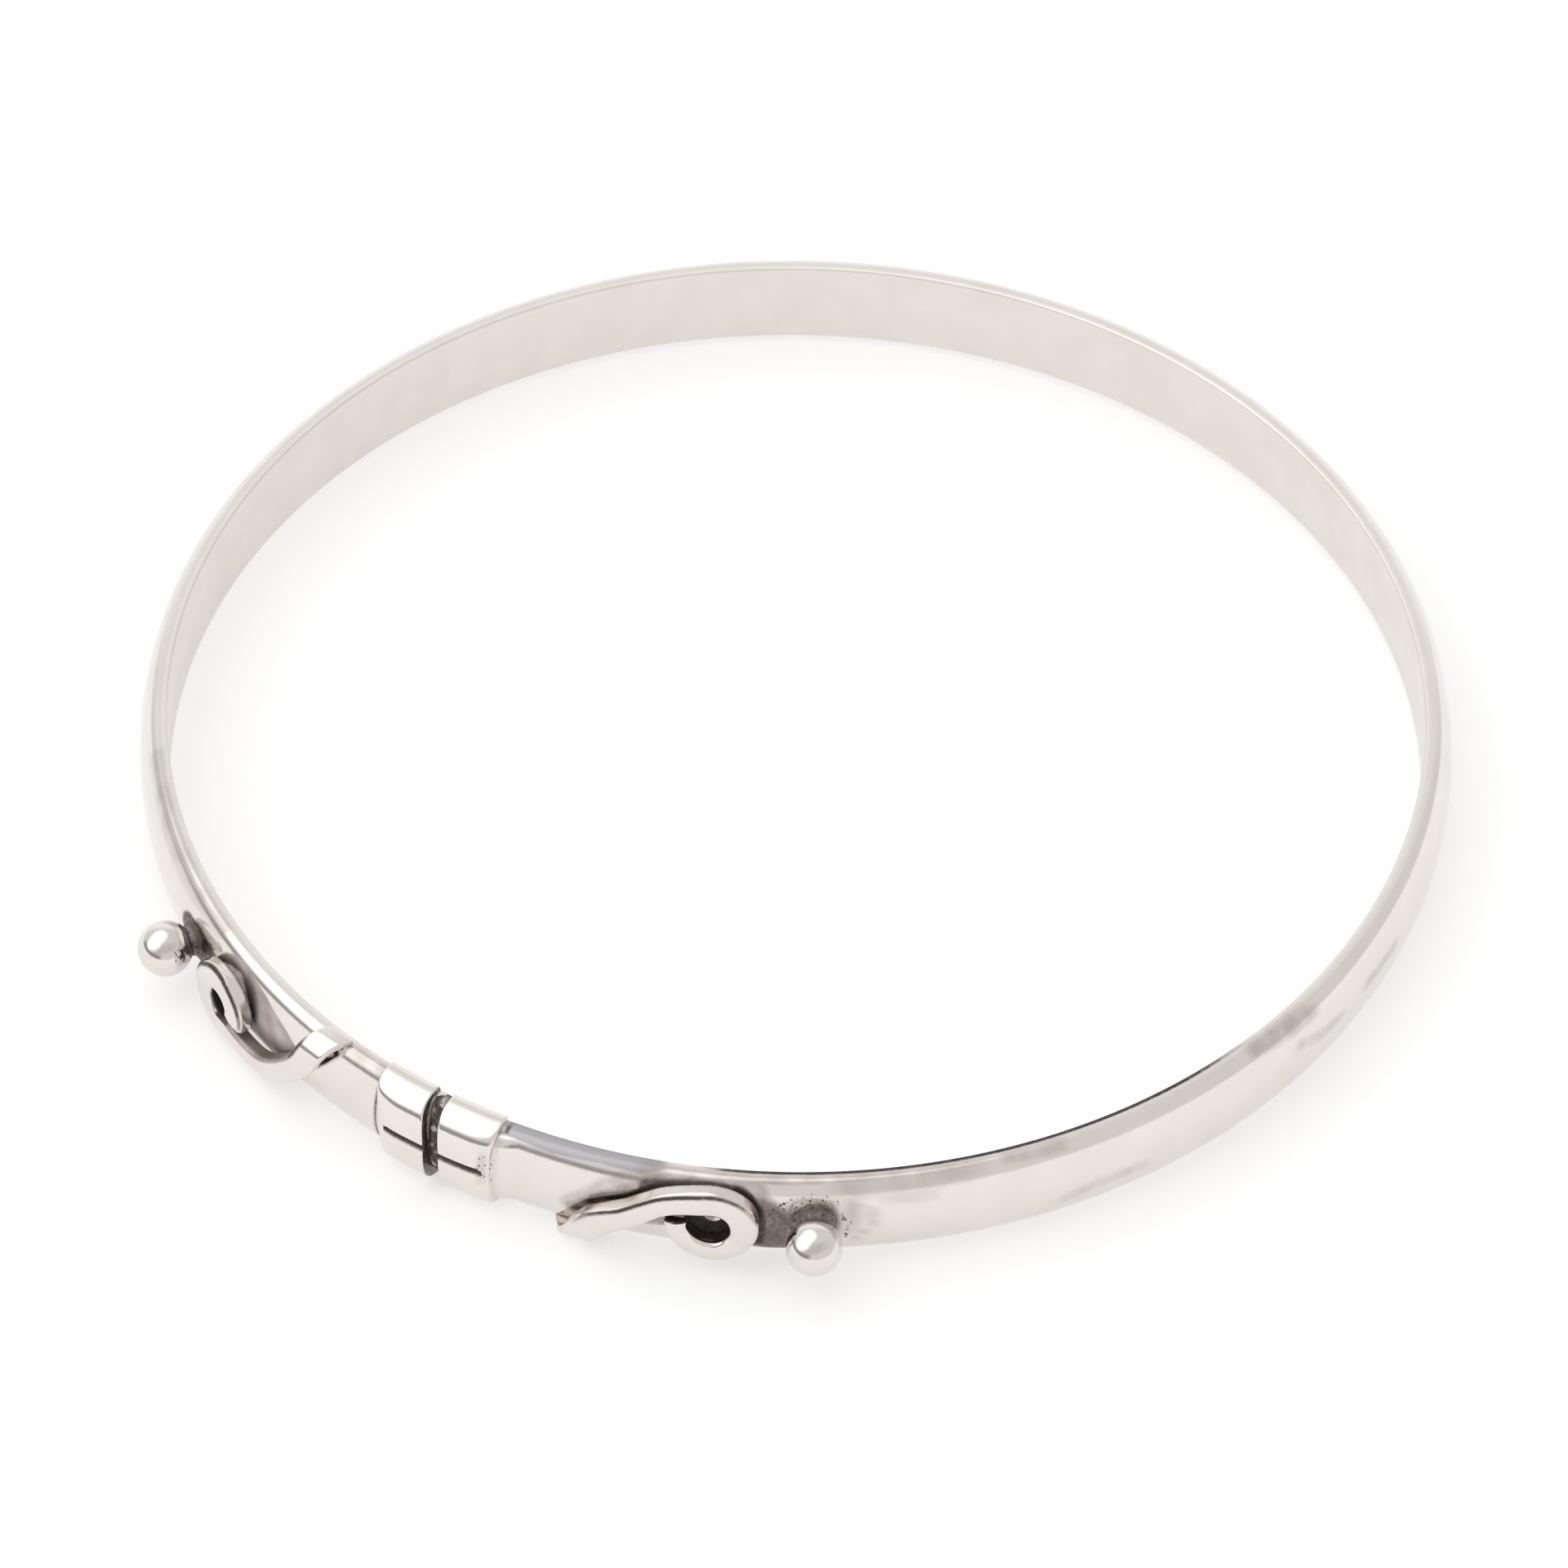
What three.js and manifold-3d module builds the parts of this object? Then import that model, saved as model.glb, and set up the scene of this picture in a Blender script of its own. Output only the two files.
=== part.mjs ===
// Slip-on bangle bracelet in sterling silver: a closed half-round band whose seam is dressed with two
// collars, two flat-wire scrolls that wrap over the band's edges and curl into open eyes, and two balls.
// Millimetres, +Z up. The ring's axis is vertical and the ornament faces -Y. The origin is the bottom
// centre of the whole part's box.
import * as THREE from 'three';
import * as BufferGeometryUtils from 'three/addons/utils/BufferGeometryUtils.js';
import Module from 'manifold-3d';

// Band: half-round wire, flat side in
const WRIST_DIAMETER = 65;
const BAND_THICKNESS = 1.5;
const BAND_WIDTH = 5;
const BAND_EDGE = 0.5;            // radial depth of the flat part of each edge, before the dome starts
const BAND_INNER_BREAK = 0.15;    // small bevel that keeps the inner rims off the skin
const SEAM_WIDTH = 0.5;           // solder-filled joint between the band's two ends

// Collars: thick strips formed over the band on each side of the seam
const COLLAR_RISE = 0.68;         // height over the dome's crown, at the gap
const COLLAR_END_RISE = 0.4;      // the same, at the collar's far end
const COLLAR_END_ROUND = 1.4;     // length over which the far end rounds up to the full height
const COLLAR_EDGE_RISE = 0.28;    // height over the band's two edges
const COLLAR_LENGTH = 2.9;
const COLLAR_GAP = 0.88;          // open, oxidised gap between the two collars
const COLLAR_LEAN = { right: [-0.3, 0.15], left: [0.35, 0.6] };   // how far each end, near and far,
                                  // slants away from the gap at the collar's upper edge
const COLLAR_SQUARENESS = 2.2;    // exponent of the collar's rounded outer section
const GROOVE_WIDTH = 0.32;
const GROOVE_DEPTH = 0.26;
const GROOVE_OFFSET = 0.2;        // height of the engraved line over the middle of the band
const GROOVE_END_MARGIN = 0.35;   // length of plain collar beyond the line's blind end
const FILLET_LENGTH = 1.2;        // solder run-out at the far end of the right collar
const FILLET_TAIL = 0.04;         // thickness left where the run-out ends

// Scrolls: flat wire, bent on edge. Each is laid out in millimetres along the band from the middle of
// the seam, and in height off the middle of the band, on the side where its eye stands high.
// The same layout carries on past the band's lower edge as distance round the foot's bend. The wire
// curls on round its eye by turn degrees, and widths are [share of its length, width] pairs.
const SCROLL_THICKNESS = 0.85;
const SCROLL_STANDOFF = 0.2;      // from the dome's crown to the back of the wire
const SCROLL_TIP_THICKNESS = 0.32;
const SCROLL_BEND_THICKNESS = 0.55;
const SCROLL_FOOT_REACH = 0.35;   // how far the foot's end stays outside the inner face
const FOOT_BEND_RADIUS = 1.1;     // of the wire's centre line, over the band's edge
const WIRE_BEVEL = 0.28;          // worn front edges of the wire, as a share of its thickness
const FOOT_SPLAY = 0.18;          // share of the wire over which its cut end turns square to its run
const SCROLLS = {
  right: {
    foot: 7.1,
    lead: [[8.85, -0.9], [11, 0.45], [12.7, 1.65]],
    eye: [15.15, 0.55],
    reach: 2.42,
    turn: 290,
    widths: [
      [0, 1.5], [0.12, 1.5], [0.2, 1.5], [0.3, 1.35], [0.4, 1.35],
      [0.52, 1.6], [0.68, 1.55], [0.82, 1.2], [1, 1.15],
    ],
  },
  left: {
    foot: 7.25,
    lead: [[8.5, -1], [9.9, 0.6], [11.8, 1.7]],
    eye: [15.3, 0.1],
    reach: 2.2,
    turn: 306,
    widths: [[0, 1.6], [0.24, 1.45], [0.38, 1.2], [0.52, 1.15], [0.68, 1.5], [0.82, 1.75], [1, 1.7]],
  },
};
const EYE_START = 105;            // degrees round the eye where the lead joins it, from the band's line
const PAD_RADIUS = 1.7;
const PAD_DEPTH = 0.6;            // below the dome's crown, before the pad is hollowed to the dome

// Balls
const BALL_DIAMETER = 2.9;
const BALL_REACH = { right: 20.25, left: 19.75 };  // along the band from the middle of the seam
const BALL_RISE = { right: 0.15, left: 0.1 };      // height over the middle, on the scroll's high side
const BALL_STANDOFF = 0.1;
const NECK_RADIUS = 0.75;         // of the solder round the ball's foot
const NECK_FLARE = 1.2;           // how much wider the solder is at the band

const CLEARANCE = 0.03;           // between neighbouring solids, where solder or metal meets metal

// Mesh fineness
const RING_STEPS = 132;
const DOME_STEPS = 8;
const COLLAR_STEPS = 8;
const SCROLL_STEPS = 56;
const WIRE_STEPS = 4;
const EYE_STEPS = 10;
const PAD_STEPS = 24;
const BALL_STEPS = 20;

const INNER_RADIUS = WRIST_DIAMETER / 2;
const CROWN_RADIUS = INNER_RADIUS + BAND_THICKNESS;
const COLLAR_RADIUS = CROWN_RADIUS + COLLAR_RISE;
const HALF_WIDTH = BAND_WIDTH / 2;
const COLLAR_HALF_WIDTH = HALF_WIDTH + COLLAR_EDGE_RISE;
const SCROLL_BACK_RADIUS = CROWN_RADIUS + SCROLL_STANDOFF;
const SCROLL_MID_RADIUS = SCROLL_BACK_RADIUS + SCROLL_THICKNESS / 2;
const BALL_RADIUS = BALL_DIAMETER / 2;
const BALL_CENTRE_RADIUS = CROWN_RADIUS + BALL_STANDOFF + BALL_RADIUS;
const DEGREE = Math.PI / 180;

// Where the scroll's foot starts to bend over the band's edge, and where its cut end comes to lie.
const FOOT_BEND_TOP = FOOT_BEND_RADIUS - HALF_WIDTH - CLEARANCE - SCROLL_TIP_THICKNESS / 2;
const FOOT_FLAT = SCROLL_MID_RADIUS - FOOT_BEND_RADIUS - INNER_RADIUS - SCROLL_FOOT_REACH;
const FOOT_END_HEIGHT = FOOT_BEND_TOP - 90 * DEGREE * FOOT_BEND_RADIUS - FOOT_FLAT;

const wasm = await Module();
wasm.setup();

// A point at a distance along the ring, measured at a given radius from the ornament's middle.
function onRing(radius, angle, height) {
  return new THREE.Vector3(radius * Math.sin(angle), -radius * Math.cos(angle), height);
}

// Outer half of the band's section, grown all round by a margin: radius and height, bottom to top.
function domeProfile(margin) {
  const points = [];
  const rise = BAND_THICKNESS - BAND_EDGE;
  for (let i = 0; i <= DOME_STEPS; i += 1) {
    const t = -Math.PI / 2 + (Math.PI * i) / DOME_STEPS;
    const radius = INNER_RADIUS + BAND_EDGE + (rise + margin) * Math.cos(t);
    points.push([radius, (HALF_WIDTH + margin) * Math.sin(t)]);
  }
  return points;
}

// Outer half of a collar's section: a rounded square that covers the dome and both edges.
function collarProfile(rise) {
  const points = [];
  const base = INNER_RADIUS + BAND_EDGE / 2;
  for (let i = 0; i <= 2 * DOME_STEPS; i += 1) {
    const t = -Math.PI / 2 + (Math.PI * i) / (2 * DOME_STEPS);
    const c = Math.max(Math.cos(t), 0) ** (2 / COLLAR_SQUARENESS);
    const s = Math.sign(Math.sin(t)) * Math.abs(Math.sin(t)) ** (2 / COLLAR_SQUARENESS);
    points.push([base + (CROWN_RADIUS + rise - base) * c, COLLAR_HALF_WIDTH * s]);
  }
  return points;
}

// A closed mesh from a stack of rings with equal point counts, capped flat at its two ends.
function loft(rings) {
  const count = rings[0].length;
  const positions = [];
  rings.forEach((ring) => ring.forEach((p) => positions.push(p.x, p.y, p.z)));
  const index = [];
  for (let k = 0; k + 1 < rings.length; k += 1) {
    for (let i = 0; i < count; i += 1) {
      const a = k * count + i;
      const b = k * count + ((i + 1) % count);
      index.push(a, b, b + count, a, b + count, a + count);
    }
  }
  [0, rings.length - 1].forEach((k) => {
    const cap = capTriangles(rings[k]);
    cap.forEach(([a, b, c]) => {
      if (k === 0) index.push(a, c, b);
      else index.push(k * count + a, k * count + b, k * count + c);
    });
  });
  const geometry = new THREE.BufferGeometry();
  geometry.setAttribute('position', new THREE.Float32BufferAttribute(positions, 3));
  geometry.setIndex(index);
  return facingOut(geometry);
}

// Triangles over one flat ring, found in the ring's own plane.
function capTriangles(ring) {
  const normal = new THREE.Vector3();
  ring.forEach((p, i) => normal.add(p.clone().cross(ring[(i + 1) % ring.length])));
  normal.normalize();
  const side = new THREE.Vector3().subVectors(ring[1], ring[0]).normalize();
  const up = new THREE.Vector3().crossVectors(normal, side);
  const flat = ring.map((p) => new THREE.Vector2(p.dot(side), p.dot(up)));
  return THREE.ShapeUtils.triangulateShape(flat, []);
}

// Turns a closed mesh's faces outwards if its signed volume is negative.
function facingOut(geometry) {
  const p = geometry.attributes.position;
  const index = geometry.index.array;
  const [a, b, c] = [new THREE.Vector3(), new THREE.Vector3(), new THREE.Vector3()];
  let volume = 0;
  for (let i = 0; i < index.length; i += 3) {
    a.fromBufferAttribute(p, index[i]);
    b.fromBufferAttribute(p, index[i + 1]);
    c.fromBufferAttribute(p, index[i + 2]);
    volume += a.dot(b.cross(c));
  }
  if (volume < 0) {
    for (let i = 0; i < index.length; i += 3) {
      [index[i + 1], index[i + 2]] = [index[i + 2], index[i + 1]];
    }
  }
  return geometry;
}

// A section in radius and height, carried round the ring between two angles.
function sector(section, from, to, steps) {
  const rings = [];
  for (let k = 0; k <= steps; k += 1) {
    const angle = from + ((to - from) * k) / steps;
    rings.push(section.map(([radius, height]) => onRing(radius, angle, height)));
  }
  return loft(rings);
}

function toSolid(geometry) {
  const plain = geometry.clone();
  plain.deleteAttribute('normal');
  plain.deleteAttribute('uv');
  const merged = BufferGeometryUtils.mergeVertices(plain, 1e-4);
  const vertProperties = new Float32Array(merged.attributes.position.array);
  const triVerts = new Uint32Array(merged.index.array);
  return new wasm.Manifold(new wasm.Mesh({ numProp: 3, vertProperties, triVerts }));
}

function fromSolid(solid) {
  const mesh = solid.getMesh();
  const geometry = new THREE.BufferGeometry();
  geometry.setAttribute('position', new THREE.Float32BufferAttribute(mesh.vertProperties, 3));
  geometry.setIndex(new THREE.Uint32BufferAttribute(mesh.triVerts, 1));
  return geometry;
}

function cut(body, ...tools) {
  return fromSolid(tools.reduce((solid, tool) => solid.subtract(toSolid(tool)), toSolid(body)));
}

// The band runs almost all the way round, from one side of the seam to the other.
function bandGeometry() {
  const section = [
    [INNER_RADIUS, HALF_WIDTH - BAND_INNER_BREAK],
    [INNER_RADIUS, -HALF_WIDTH + BAND_INNER_BREAK],
    [INNER_RADIUS + BAND_INNER_BREAK, -HALF_WIDTH],
    ...domeProfile(0),
    [INNER_RADIUS + BAND_INNER_BREAK, HALF_WIDTH],
  ];
  const seamHalfAngle = SEAM_WIDTH / 2 / INNER_RADIUS;
  return sector(section, seamHalfAngle, 2 * Math.PI - seamHalfAngle, RING_STEPS);
}

// Solder between the band's ends: the same section, a little smaller.
function seamGeometry() {
  const section = [
    [INNER_RADIUS + CLEARANCE, HALF_WIDTH - BAND_INNER_BREAK],
    [INNER_RADIUS + CLEARANCE, -HALF_WIDTH + BAND_INNER_BREAK],
    ...domeProfile(-CLEARANCE),
  ];
  const half = SEAM_WIDTH / 2 / INNER_RADIUS - CLEARANCE / INNER_RADIUS;
  return sector(section, -half, half, 2);
}

// The C-shaped section of a collar: its outer half, then back along the band's own section.
function collarSection(rise) {
  const inner = domeProfile(CLEARANCE).reverse();
  return [[INNER_RADIUS, -COLLAR_HALF_WIDTH], ...collarProfile(rise), [INNER_RADIUS, COLLAR_HALF_WIDTH],
    [INNER_RADIUS, HALF_WIDTH + CLEARANCE], ...inner, [INNER_RADIUS, -HALF_WIDTH - CLEARANCE]];
}

// How far a collar leans away from the gap at a share of its length and a height.
function collarLean(side, share, height) {
  const [near, far] = COLLAR_LEAN[side];
  return (near + (far - near) * share) * Math.max(0, height / COLLAR_HALF_WIDTH) ** 2;
}

// One collar, from the gap outwards: its far end rounds down, and its ends lean with height.
function collarBody(side) {
  const turn = side === 'right' ? 1 : -1;
  const rings = [];
  for (let k = 0; k <= COLLAR_STEPS; k += 1) {
    const share = Math.sin((90 * DEGREE * k) / COLLAR_STEPS);
    const fromEnd = Math.min(1, ((1 - share) * COLLAR_LENGTH) / COLLAR_END_ROUND);
    const round = Math.sqrt(1 - (1 - fromEnd) ** 2);
    const rise = COLLAR_END_RISE + (COLLAR_RISE - COLLAR_END_RISE) * round;
    const reach = COLLAR_GAP / 2 + COLLAR_LENGTH * share;
    rings.push(collarSection(rise).map(([radius, height]) => {
      const distance = reach + collarLean(side, share, height);
      return onRing(radius, (turn * distance) / COLLAR_RADIUS, height);
    }));
  }
  return loft(rings);
}

// A collar with its blind engraved line cut in.
function collarGeometry(side) {
  const turn = side === 'right' ? 1 : -1;
  const lineEnd = (COLLAR_GAP / 2 + COLLAR_LENGTH - GROOVE_END_MARGIN) / COLLAR_RADIUS;
  const top = COLLAR_RADIUS + GROOVE_DEPTH;
  const low = GROOVE_OFFSET - GROOVE_WIDTH;
  const high = GROOVE_OFFSET + GROOVE_WIDTH;
  const line = [[COLLAR_RADIUS - GROOVE_DEPTH, GROOVE_OFFSET], [top, low], [top, high]];
  return cut(collarBody(side), sector(line, 0, turn * lineEnd, COLLAR_STEPS));
}

// Solder that fairs the right collar's end down to the dome.
function filletGeometry() {
  const start = COLLAR_GAP / 2 + COLLAR_LENGTH + CLEARANCE;
  const inner = domeProfile(CLEARANCE).slice(1, -1).reverse();
  const rings = [];
  for (let k = 0; k <= COLLAR_STEPS; k += 1) {
    const share = k / COLLAR_STEPS;
    const rise = (COLLAR_END_RISE - FILLET_TAIL - CLEARANCE) * (1 - share) ** 2 + FILLET_TAIL;
    const outer = domeProfile(CLEARANCE + rise).slice(1, -1);
    rings.push([...outer, ...inner].map(([radius, height]) => {
      const distance = start + FILLET_LENGTH * share + collarLean('right', 1, height);
      return onRing(radius, distance / COLLAR_RADIUS, height);
    }));
  }
  return loft(rings);
}

// A value read off a list of [share, value] pairs, straight between neighbours.
function along(list, share) {
  const next = Math.max(1, list.findIndex(([at]) => at >= share));
  const [a, from] = list[next - 1];
  const [b, to] = list[next];
  return from + ((to - from) * (share - a)) / (b - a);
}

// Thickness of the scroll's wire: full, but filed thin where the foot lies over the band's edge.
function wireThickness(share) {
  const taper = [[0, SCROLL_TIP_THICKNESS], [0.16, SCROLL_BEND_THICKNESS], [0.3, SCROLL_THICKNESS]];
  return along([...taper, [1, SCROLL_THICKNESS]], share);
}

// A point of the scroll from its layout: round the ring above the bend, and below it over the edge
// and in along the band's flat side.
function onLane(distance, height, lift) {
  const beyond = FOOT_BEND_TOP - height;
  const bend = Math.min(Math.max(beyond / FOOT_BEND_RADIUS, 0), 90 * DEGREE);
  const flat = Math.max(beyond - 90 * DEGREE * FOOT_BEND_RADIUS, 0);
  const arm = FOOT_BEND_RADIUS + lift;
  const radius = SCROLL_MID_RADIUS - FOOT_BEND_RADIUS + arm * Math.cos(bend) - flat;
  const level = beyond > 0 ? FOOT_BEND_TOP - arm * Math.sin(bend) : height;
  return onRing(radius, distance / SCROLL_MID_RADIUS, level);
}

// Centre line of a scroll in its layout: out from the foot, across the dome, round the eye.
function scrollPath({ foot, lead, eye, reach, turn, widths }) {
  const points = [[foot, FOOT_END_HEIGHT], ...lead];
  for (let k = 0; k <= EYE_STEPS; k += 1) {
    const a = (EYE_START - (turn * k) / EYE_STEPS) * DEGREE;
    const radius = reach - along(widths, (1 + k / EYE_STEPS) / 2) / 2;
    points.push([eye[0] + radius * Math.cos(a), eye[1] + radius * Math.sin(a)]);
  }
  const places = points.map(([distance, height]) => new THREE.Vector3(distance, height, 0));
  return new THREE.CatmullRomCurve3(places, false, 'centripetal');
}

// Bevelled section of the scroll's wire, as offsets across its width and its thickness.
function wireSection(width, thickness) {
  const half = width / 2;
  const lift = thickness / 2;
  const bevel = thickness * WIRE_BEVEL;
  const back = [];
  const front = [];
  for (let i = 0; i <= WIRE_STEPS; i += 1) {
    const side = (2 * i) / WIRE_STEPS - 1;
    back.push([half * side, -lift]);
    front.unshift([(half - bevel) * side, lift]);
  }
  return [...back, [half, lift - bevel], ...front, [-half, lift - bevel]];
}

function scrollGeometry(shape) {
  const path = scrollPath(shape);
  const rings = [];
  for (let k = 0; k <= SCROLL_STEPS; k += 1) {
    const share = k / SCROLL_STEPS;
    const centre = path.getPointAt(share);
    const run = path.getTangentAt(share);
    const splay = Math.max(0, 1 - share / FOOT_SPLAY);
    const square = new THREE.Vector3(run.y, -run.x, 0);
    const across = new THREE.Vector3(1, 0, 0).lerp(square, 1 - splay);
    across.divideScalar(across.dot(square));
    const section = wireSection(along(shape.widths, share), wireThickness(share));
    rings.push(section.map(([u, lift]) => {
      return onLane(centre.x + across.x * u, centre.y + across.y * u, lift);
    }));
  }
  return loft(rings);
}

// Room taken by the band's dome between two angles, for hollowing what sits on it.
function domeRoom(from, to) {
  const section = [[INNER_RADIUS, -HALF_WIDTH], ...domeProfile(CLEARANCE), [INNER_RADIUS, HALF_WIDTH]];
  return sector(section, from, to, COLLAR_STEPS);
}

// Solder under a scroll's eye: fills the wedge between the flat back of the wire and the dome.
function padGeometry({ eye }) {
  const middle = eye[0] / SCROLL_MID_RADIUS;
  const rings = [CROWN_RADIUS - PAD_DEPTH, SCROLL_BACK_RADIUS - CLEARANCE].map((radius) => {
    const ring = [];
    for (let i = 0; i < PAD_STEPS; i += 1) {
      const a = (2 * Math.PI * i) / PAD_STEPS;
      const angle = middle + (PAD_RADIUS * Math.cos(a)) / SCROLL_MID_RADIUS;
      ring.push(onRing(radius, angle, eye[1] + PAD_RADIUS * Math.sin(a)));
    }
    return ring;
  });
  const reach = (PAD_RADIUS * 1.5) / CROWN_RADIUS;
  return cut(loft(rings), domeRoom(middle - reach, middle + reach));
}

function ballSphere(radius) {
  const ball = new THREE.SphereGeometry(radius, BALL_STEPS, BALL_STEPS / 2);
  ball.rotateX(Math.PI / 2);
  ball.translate(0, -BALL_CENTRE_RADIUS, 0);
  return ball;
}

// Solder neck between a ball and the dome, hollowed where each of them meets it.
function neckGeometry(rise) {
  const neck = new THREE.CylinderGeometry(NECK_RADIUS * NECK_FLARE, NECK_RADIUS, 1, BALL_STEPS);
  neck.rotateX(Math.PI / 2);
  neck.translate(0, -CROWN_RADIUS - BALL_STANDOFF, 0);
  const reach = (NECK_RADIUS * 2) / CROWN_RADIUS;
  const room = domeRoom(-reach, reach);
  room.translate(0, 0, -rise);
  return cut(neck, ballSphere(BALL_RADIUS + CLEARANCE), room);
}

const silver = { metalness: 1, roughness: 0.18 };
const finishes = {
  band: new THREE.MeshStandardMaterial({ color: 0xe6e2de, ...silver }),
  collar: new THREE.MeshStandardMaterial({ color: 0xeae7e4, ...silver }),
  scroll: new THREE.MeshStandardMaterial({ color: 0xe9e5e2, ...silver }),
  ball: new THREE.MeshStandardMaterial({ color: 0xe8e5e2, metalness: 1, roughness: 0.12 }),
  solder: new THREE.MeshStandardMaterial({ color: 0x7d7673, metalness: 1, roughness: 0.5 }),
};

const bangle = new THREE.Group();
const ring = new THREE.Group();
bangle.add(ring);

function addPiece(parent, name, geometry, finish) {
  const mesh = new THREE.Mesh(geometry, finishes[finish].clone());
  mesh.name = name;
  parent.add(mesh);
}

addPiece(ring, 'band', bandGeometry(), 'band');
addPiece(ring, 'seam_solder', seamGeometry(), 'solder');
addPiece(ring, 'collar_right', collarGeometry('right'), 'collar');
addPiece(ring, 'collar_left', collarGeometry('left'), 'collar');
addPiece(ring, 'collar_fillet', filletGeometry(), 'collar');

// The left half of the ornament is built as the right one is, and turned half a turn about the axis
// that runs out through the gap.
[['right', 0], ['left', Math.PI]].forEach(([side, turn]) => {
  const half = new THREE.Group();
  half.rotation.y = turn;
  ring.add(half);
  addPiece(half, `scroll_${side}`, scrollGeometry(SCROLLS[side]), 'scroll');
  addPiece(half, `scroll_pad_${side}`, padGeometry(SCROLLS[side]), 'solder');
  const seat = new THREE.Group();
  seat.rotation.z = BALL_REACH[side] / SCROLL_MID_RADIUS;
  seat.position.z = BALL_RISE[side];
  half.add(seat);
  addPiece(seat, `ball_${side}`, ballSphere(BALL_RADIUS), 'ball');
  addPiece(seat, `ball_neck_${side}`, neckGeometry(BALL_RISE[side]), 'solder');
});

// The origin goes to the bottom centre of the part's box.
ring.updateMatrixWorld(true);
const box = new THREE.Box3().setFromObject(ring);
const middle = box.getCenter(new THREE.Vector3());
ring.position.set(-middle.x, -middle.y, -box.min.z);
bangle.updateMatrixWorld(true);

export default bangle;
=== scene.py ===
import math

import bpy
import numpy as np
from mathutils import Matrix, Vector


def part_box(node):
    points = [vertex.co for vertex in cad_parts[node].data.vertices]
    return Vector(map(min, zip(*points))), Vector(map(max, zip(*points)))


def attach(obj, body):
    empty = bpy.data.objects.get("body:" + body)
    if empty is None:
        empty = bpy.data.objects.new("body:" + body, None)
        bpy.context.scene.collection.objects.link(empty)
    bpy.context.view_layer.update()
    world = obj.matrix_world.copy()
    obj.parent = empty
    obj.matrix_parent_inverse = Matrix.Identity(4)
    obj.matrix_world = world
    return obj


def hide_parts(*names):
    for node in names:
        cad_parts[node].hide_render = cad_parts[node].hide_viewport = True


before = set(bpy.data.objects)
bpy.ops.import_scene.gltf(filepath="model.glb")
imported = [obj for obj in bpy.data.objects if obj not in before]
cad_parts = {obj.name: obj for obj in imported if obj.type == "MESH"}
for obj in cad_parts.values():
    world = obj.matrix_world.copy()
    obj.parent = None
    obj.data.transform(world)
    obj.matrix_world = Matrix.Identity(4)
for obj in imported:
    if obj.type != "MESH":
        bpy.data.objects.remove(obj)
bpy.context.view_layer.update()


# ---------------------------------------------------------------------------------------------
# The band: one length of half-round sterling wire, flat side in, bent into a ring and soldered
# shut. Drawn, filed and polished by hand: mirror outside, satin where it lies on the skin. Heat
# has left faint fire-stain near the ornament, and the corners round the ornament are oxidised.
# Painted shade lies beside the scrolls and towards the band's bottom, and a painted bluish
# reflection runs along its top edge near the right collar.
# ---------------------------------------------------------------------------------------------
WRIST_RADIUS = 32.5
BAND_THICKNESS = 1.5
BAND_HALF_WIDTH = 2.5
BAND_EDGE = 0.5                    # flat part of the edges, below the dome
BAND_BREAK = 0.15                  # round on the inner rims
CROWN_RADIUS = WRIST_RADIUS + BAND_THICKNESS
SEAM_HALF = 0.25                   # half the joint between the wire's ends
FINE_ANGLE = math.radians(37)      # meshed finer this far on each side of the seam
EYE_LIFT = 0.2                     # gap between the crown and the back of a scroll
SCROLL_THICKNESS = 0.85
LANE_RADIUS = CROWN_RADIUS + EYE_LIFT + SCROLL_THICKNESS / 2      # where ornament distances are taken
SHARP = math.radians(40.0)
SILVER = (0.80, 0.762, 0.728)
DULLED = (0.97, 0.955, 0.94)       # share of the silver's colour left where it is clouded
# Mark colours: painted bluish reflection; brown for stain and painted shade; blacks for oxide and painted
# shade.
SLATE_REFLECTION = (0.395, 0.385, 0.412)
STAIN_AND_SHADE_BROWN = (0.37, 0.305, 0.28)
SOOT_AND_SHADE_EDGE = (0.15, 0.122, 0.112)
SOOT_AND_SHADE_BLACK = (0.035, 0.03, 0.028)
CLOUDS, SPECKS, PIT_CELLS, SWELLS, SCRATCHES = 420, 3800, 4400, 700, 6000      # features per metre

band_low, band_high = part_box("band")
ring_centre = np.array([(band_low[i] + band_high[i]) / 2 for i in range(3)])


def on_ring(radius, angle, height):
    """Point of the ring: turned by angle from the ornament's middle at a radius, at a height; mm to m."""
    radius, angle, height = np.broadcast_arrays(radius, angle, height)
    place = np.stack([radius * np.sin(angle), -radius * np.cos(angle), height], -1)
    return place * 0.001 + ring_centre


def smooth_noise(places, size, seed):
    """A third of the sum of eight sines of (place along a way, times 2 pi times a rate over size, plus
    a phase), with ways, rates and phases seeded: about -1 to 1, with features of a size in m."""
    rng = np.random.default_rng(seed)
    ways = rng.normal(size=(8, 3))
    ways /= np.linalg.norm(ways, axis=1, keepdims=True)
    pitch = rng.uniform(0.7, 1.6, 8) * 2 * np.pi / size
    phase = rng.uniform(0, 2 * np.pi, 8)
    return np.sin((places @ ways.T) * pitch + phase).sum(-1) / 3


def step_up(x, start, end):
    """Smoothstep: 0 before start, 1 after end, 3t^2 - 2t^3 between."""
    t = np.clip((x - start) / (end - start), 0, 1)
    return t * t * (3 - 2 * t)


def half_round(t, rise=0.0):
    """Outside of the band at t round its section from the crown: the edge's depth plus cos t times the
    dome's depth, which rise adds to."""
    return WRIST_RADIUS + BAND_EDGE + (BAND_THICKNESS - BAND_EDGE + rise) * np.cos(t)


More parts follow.
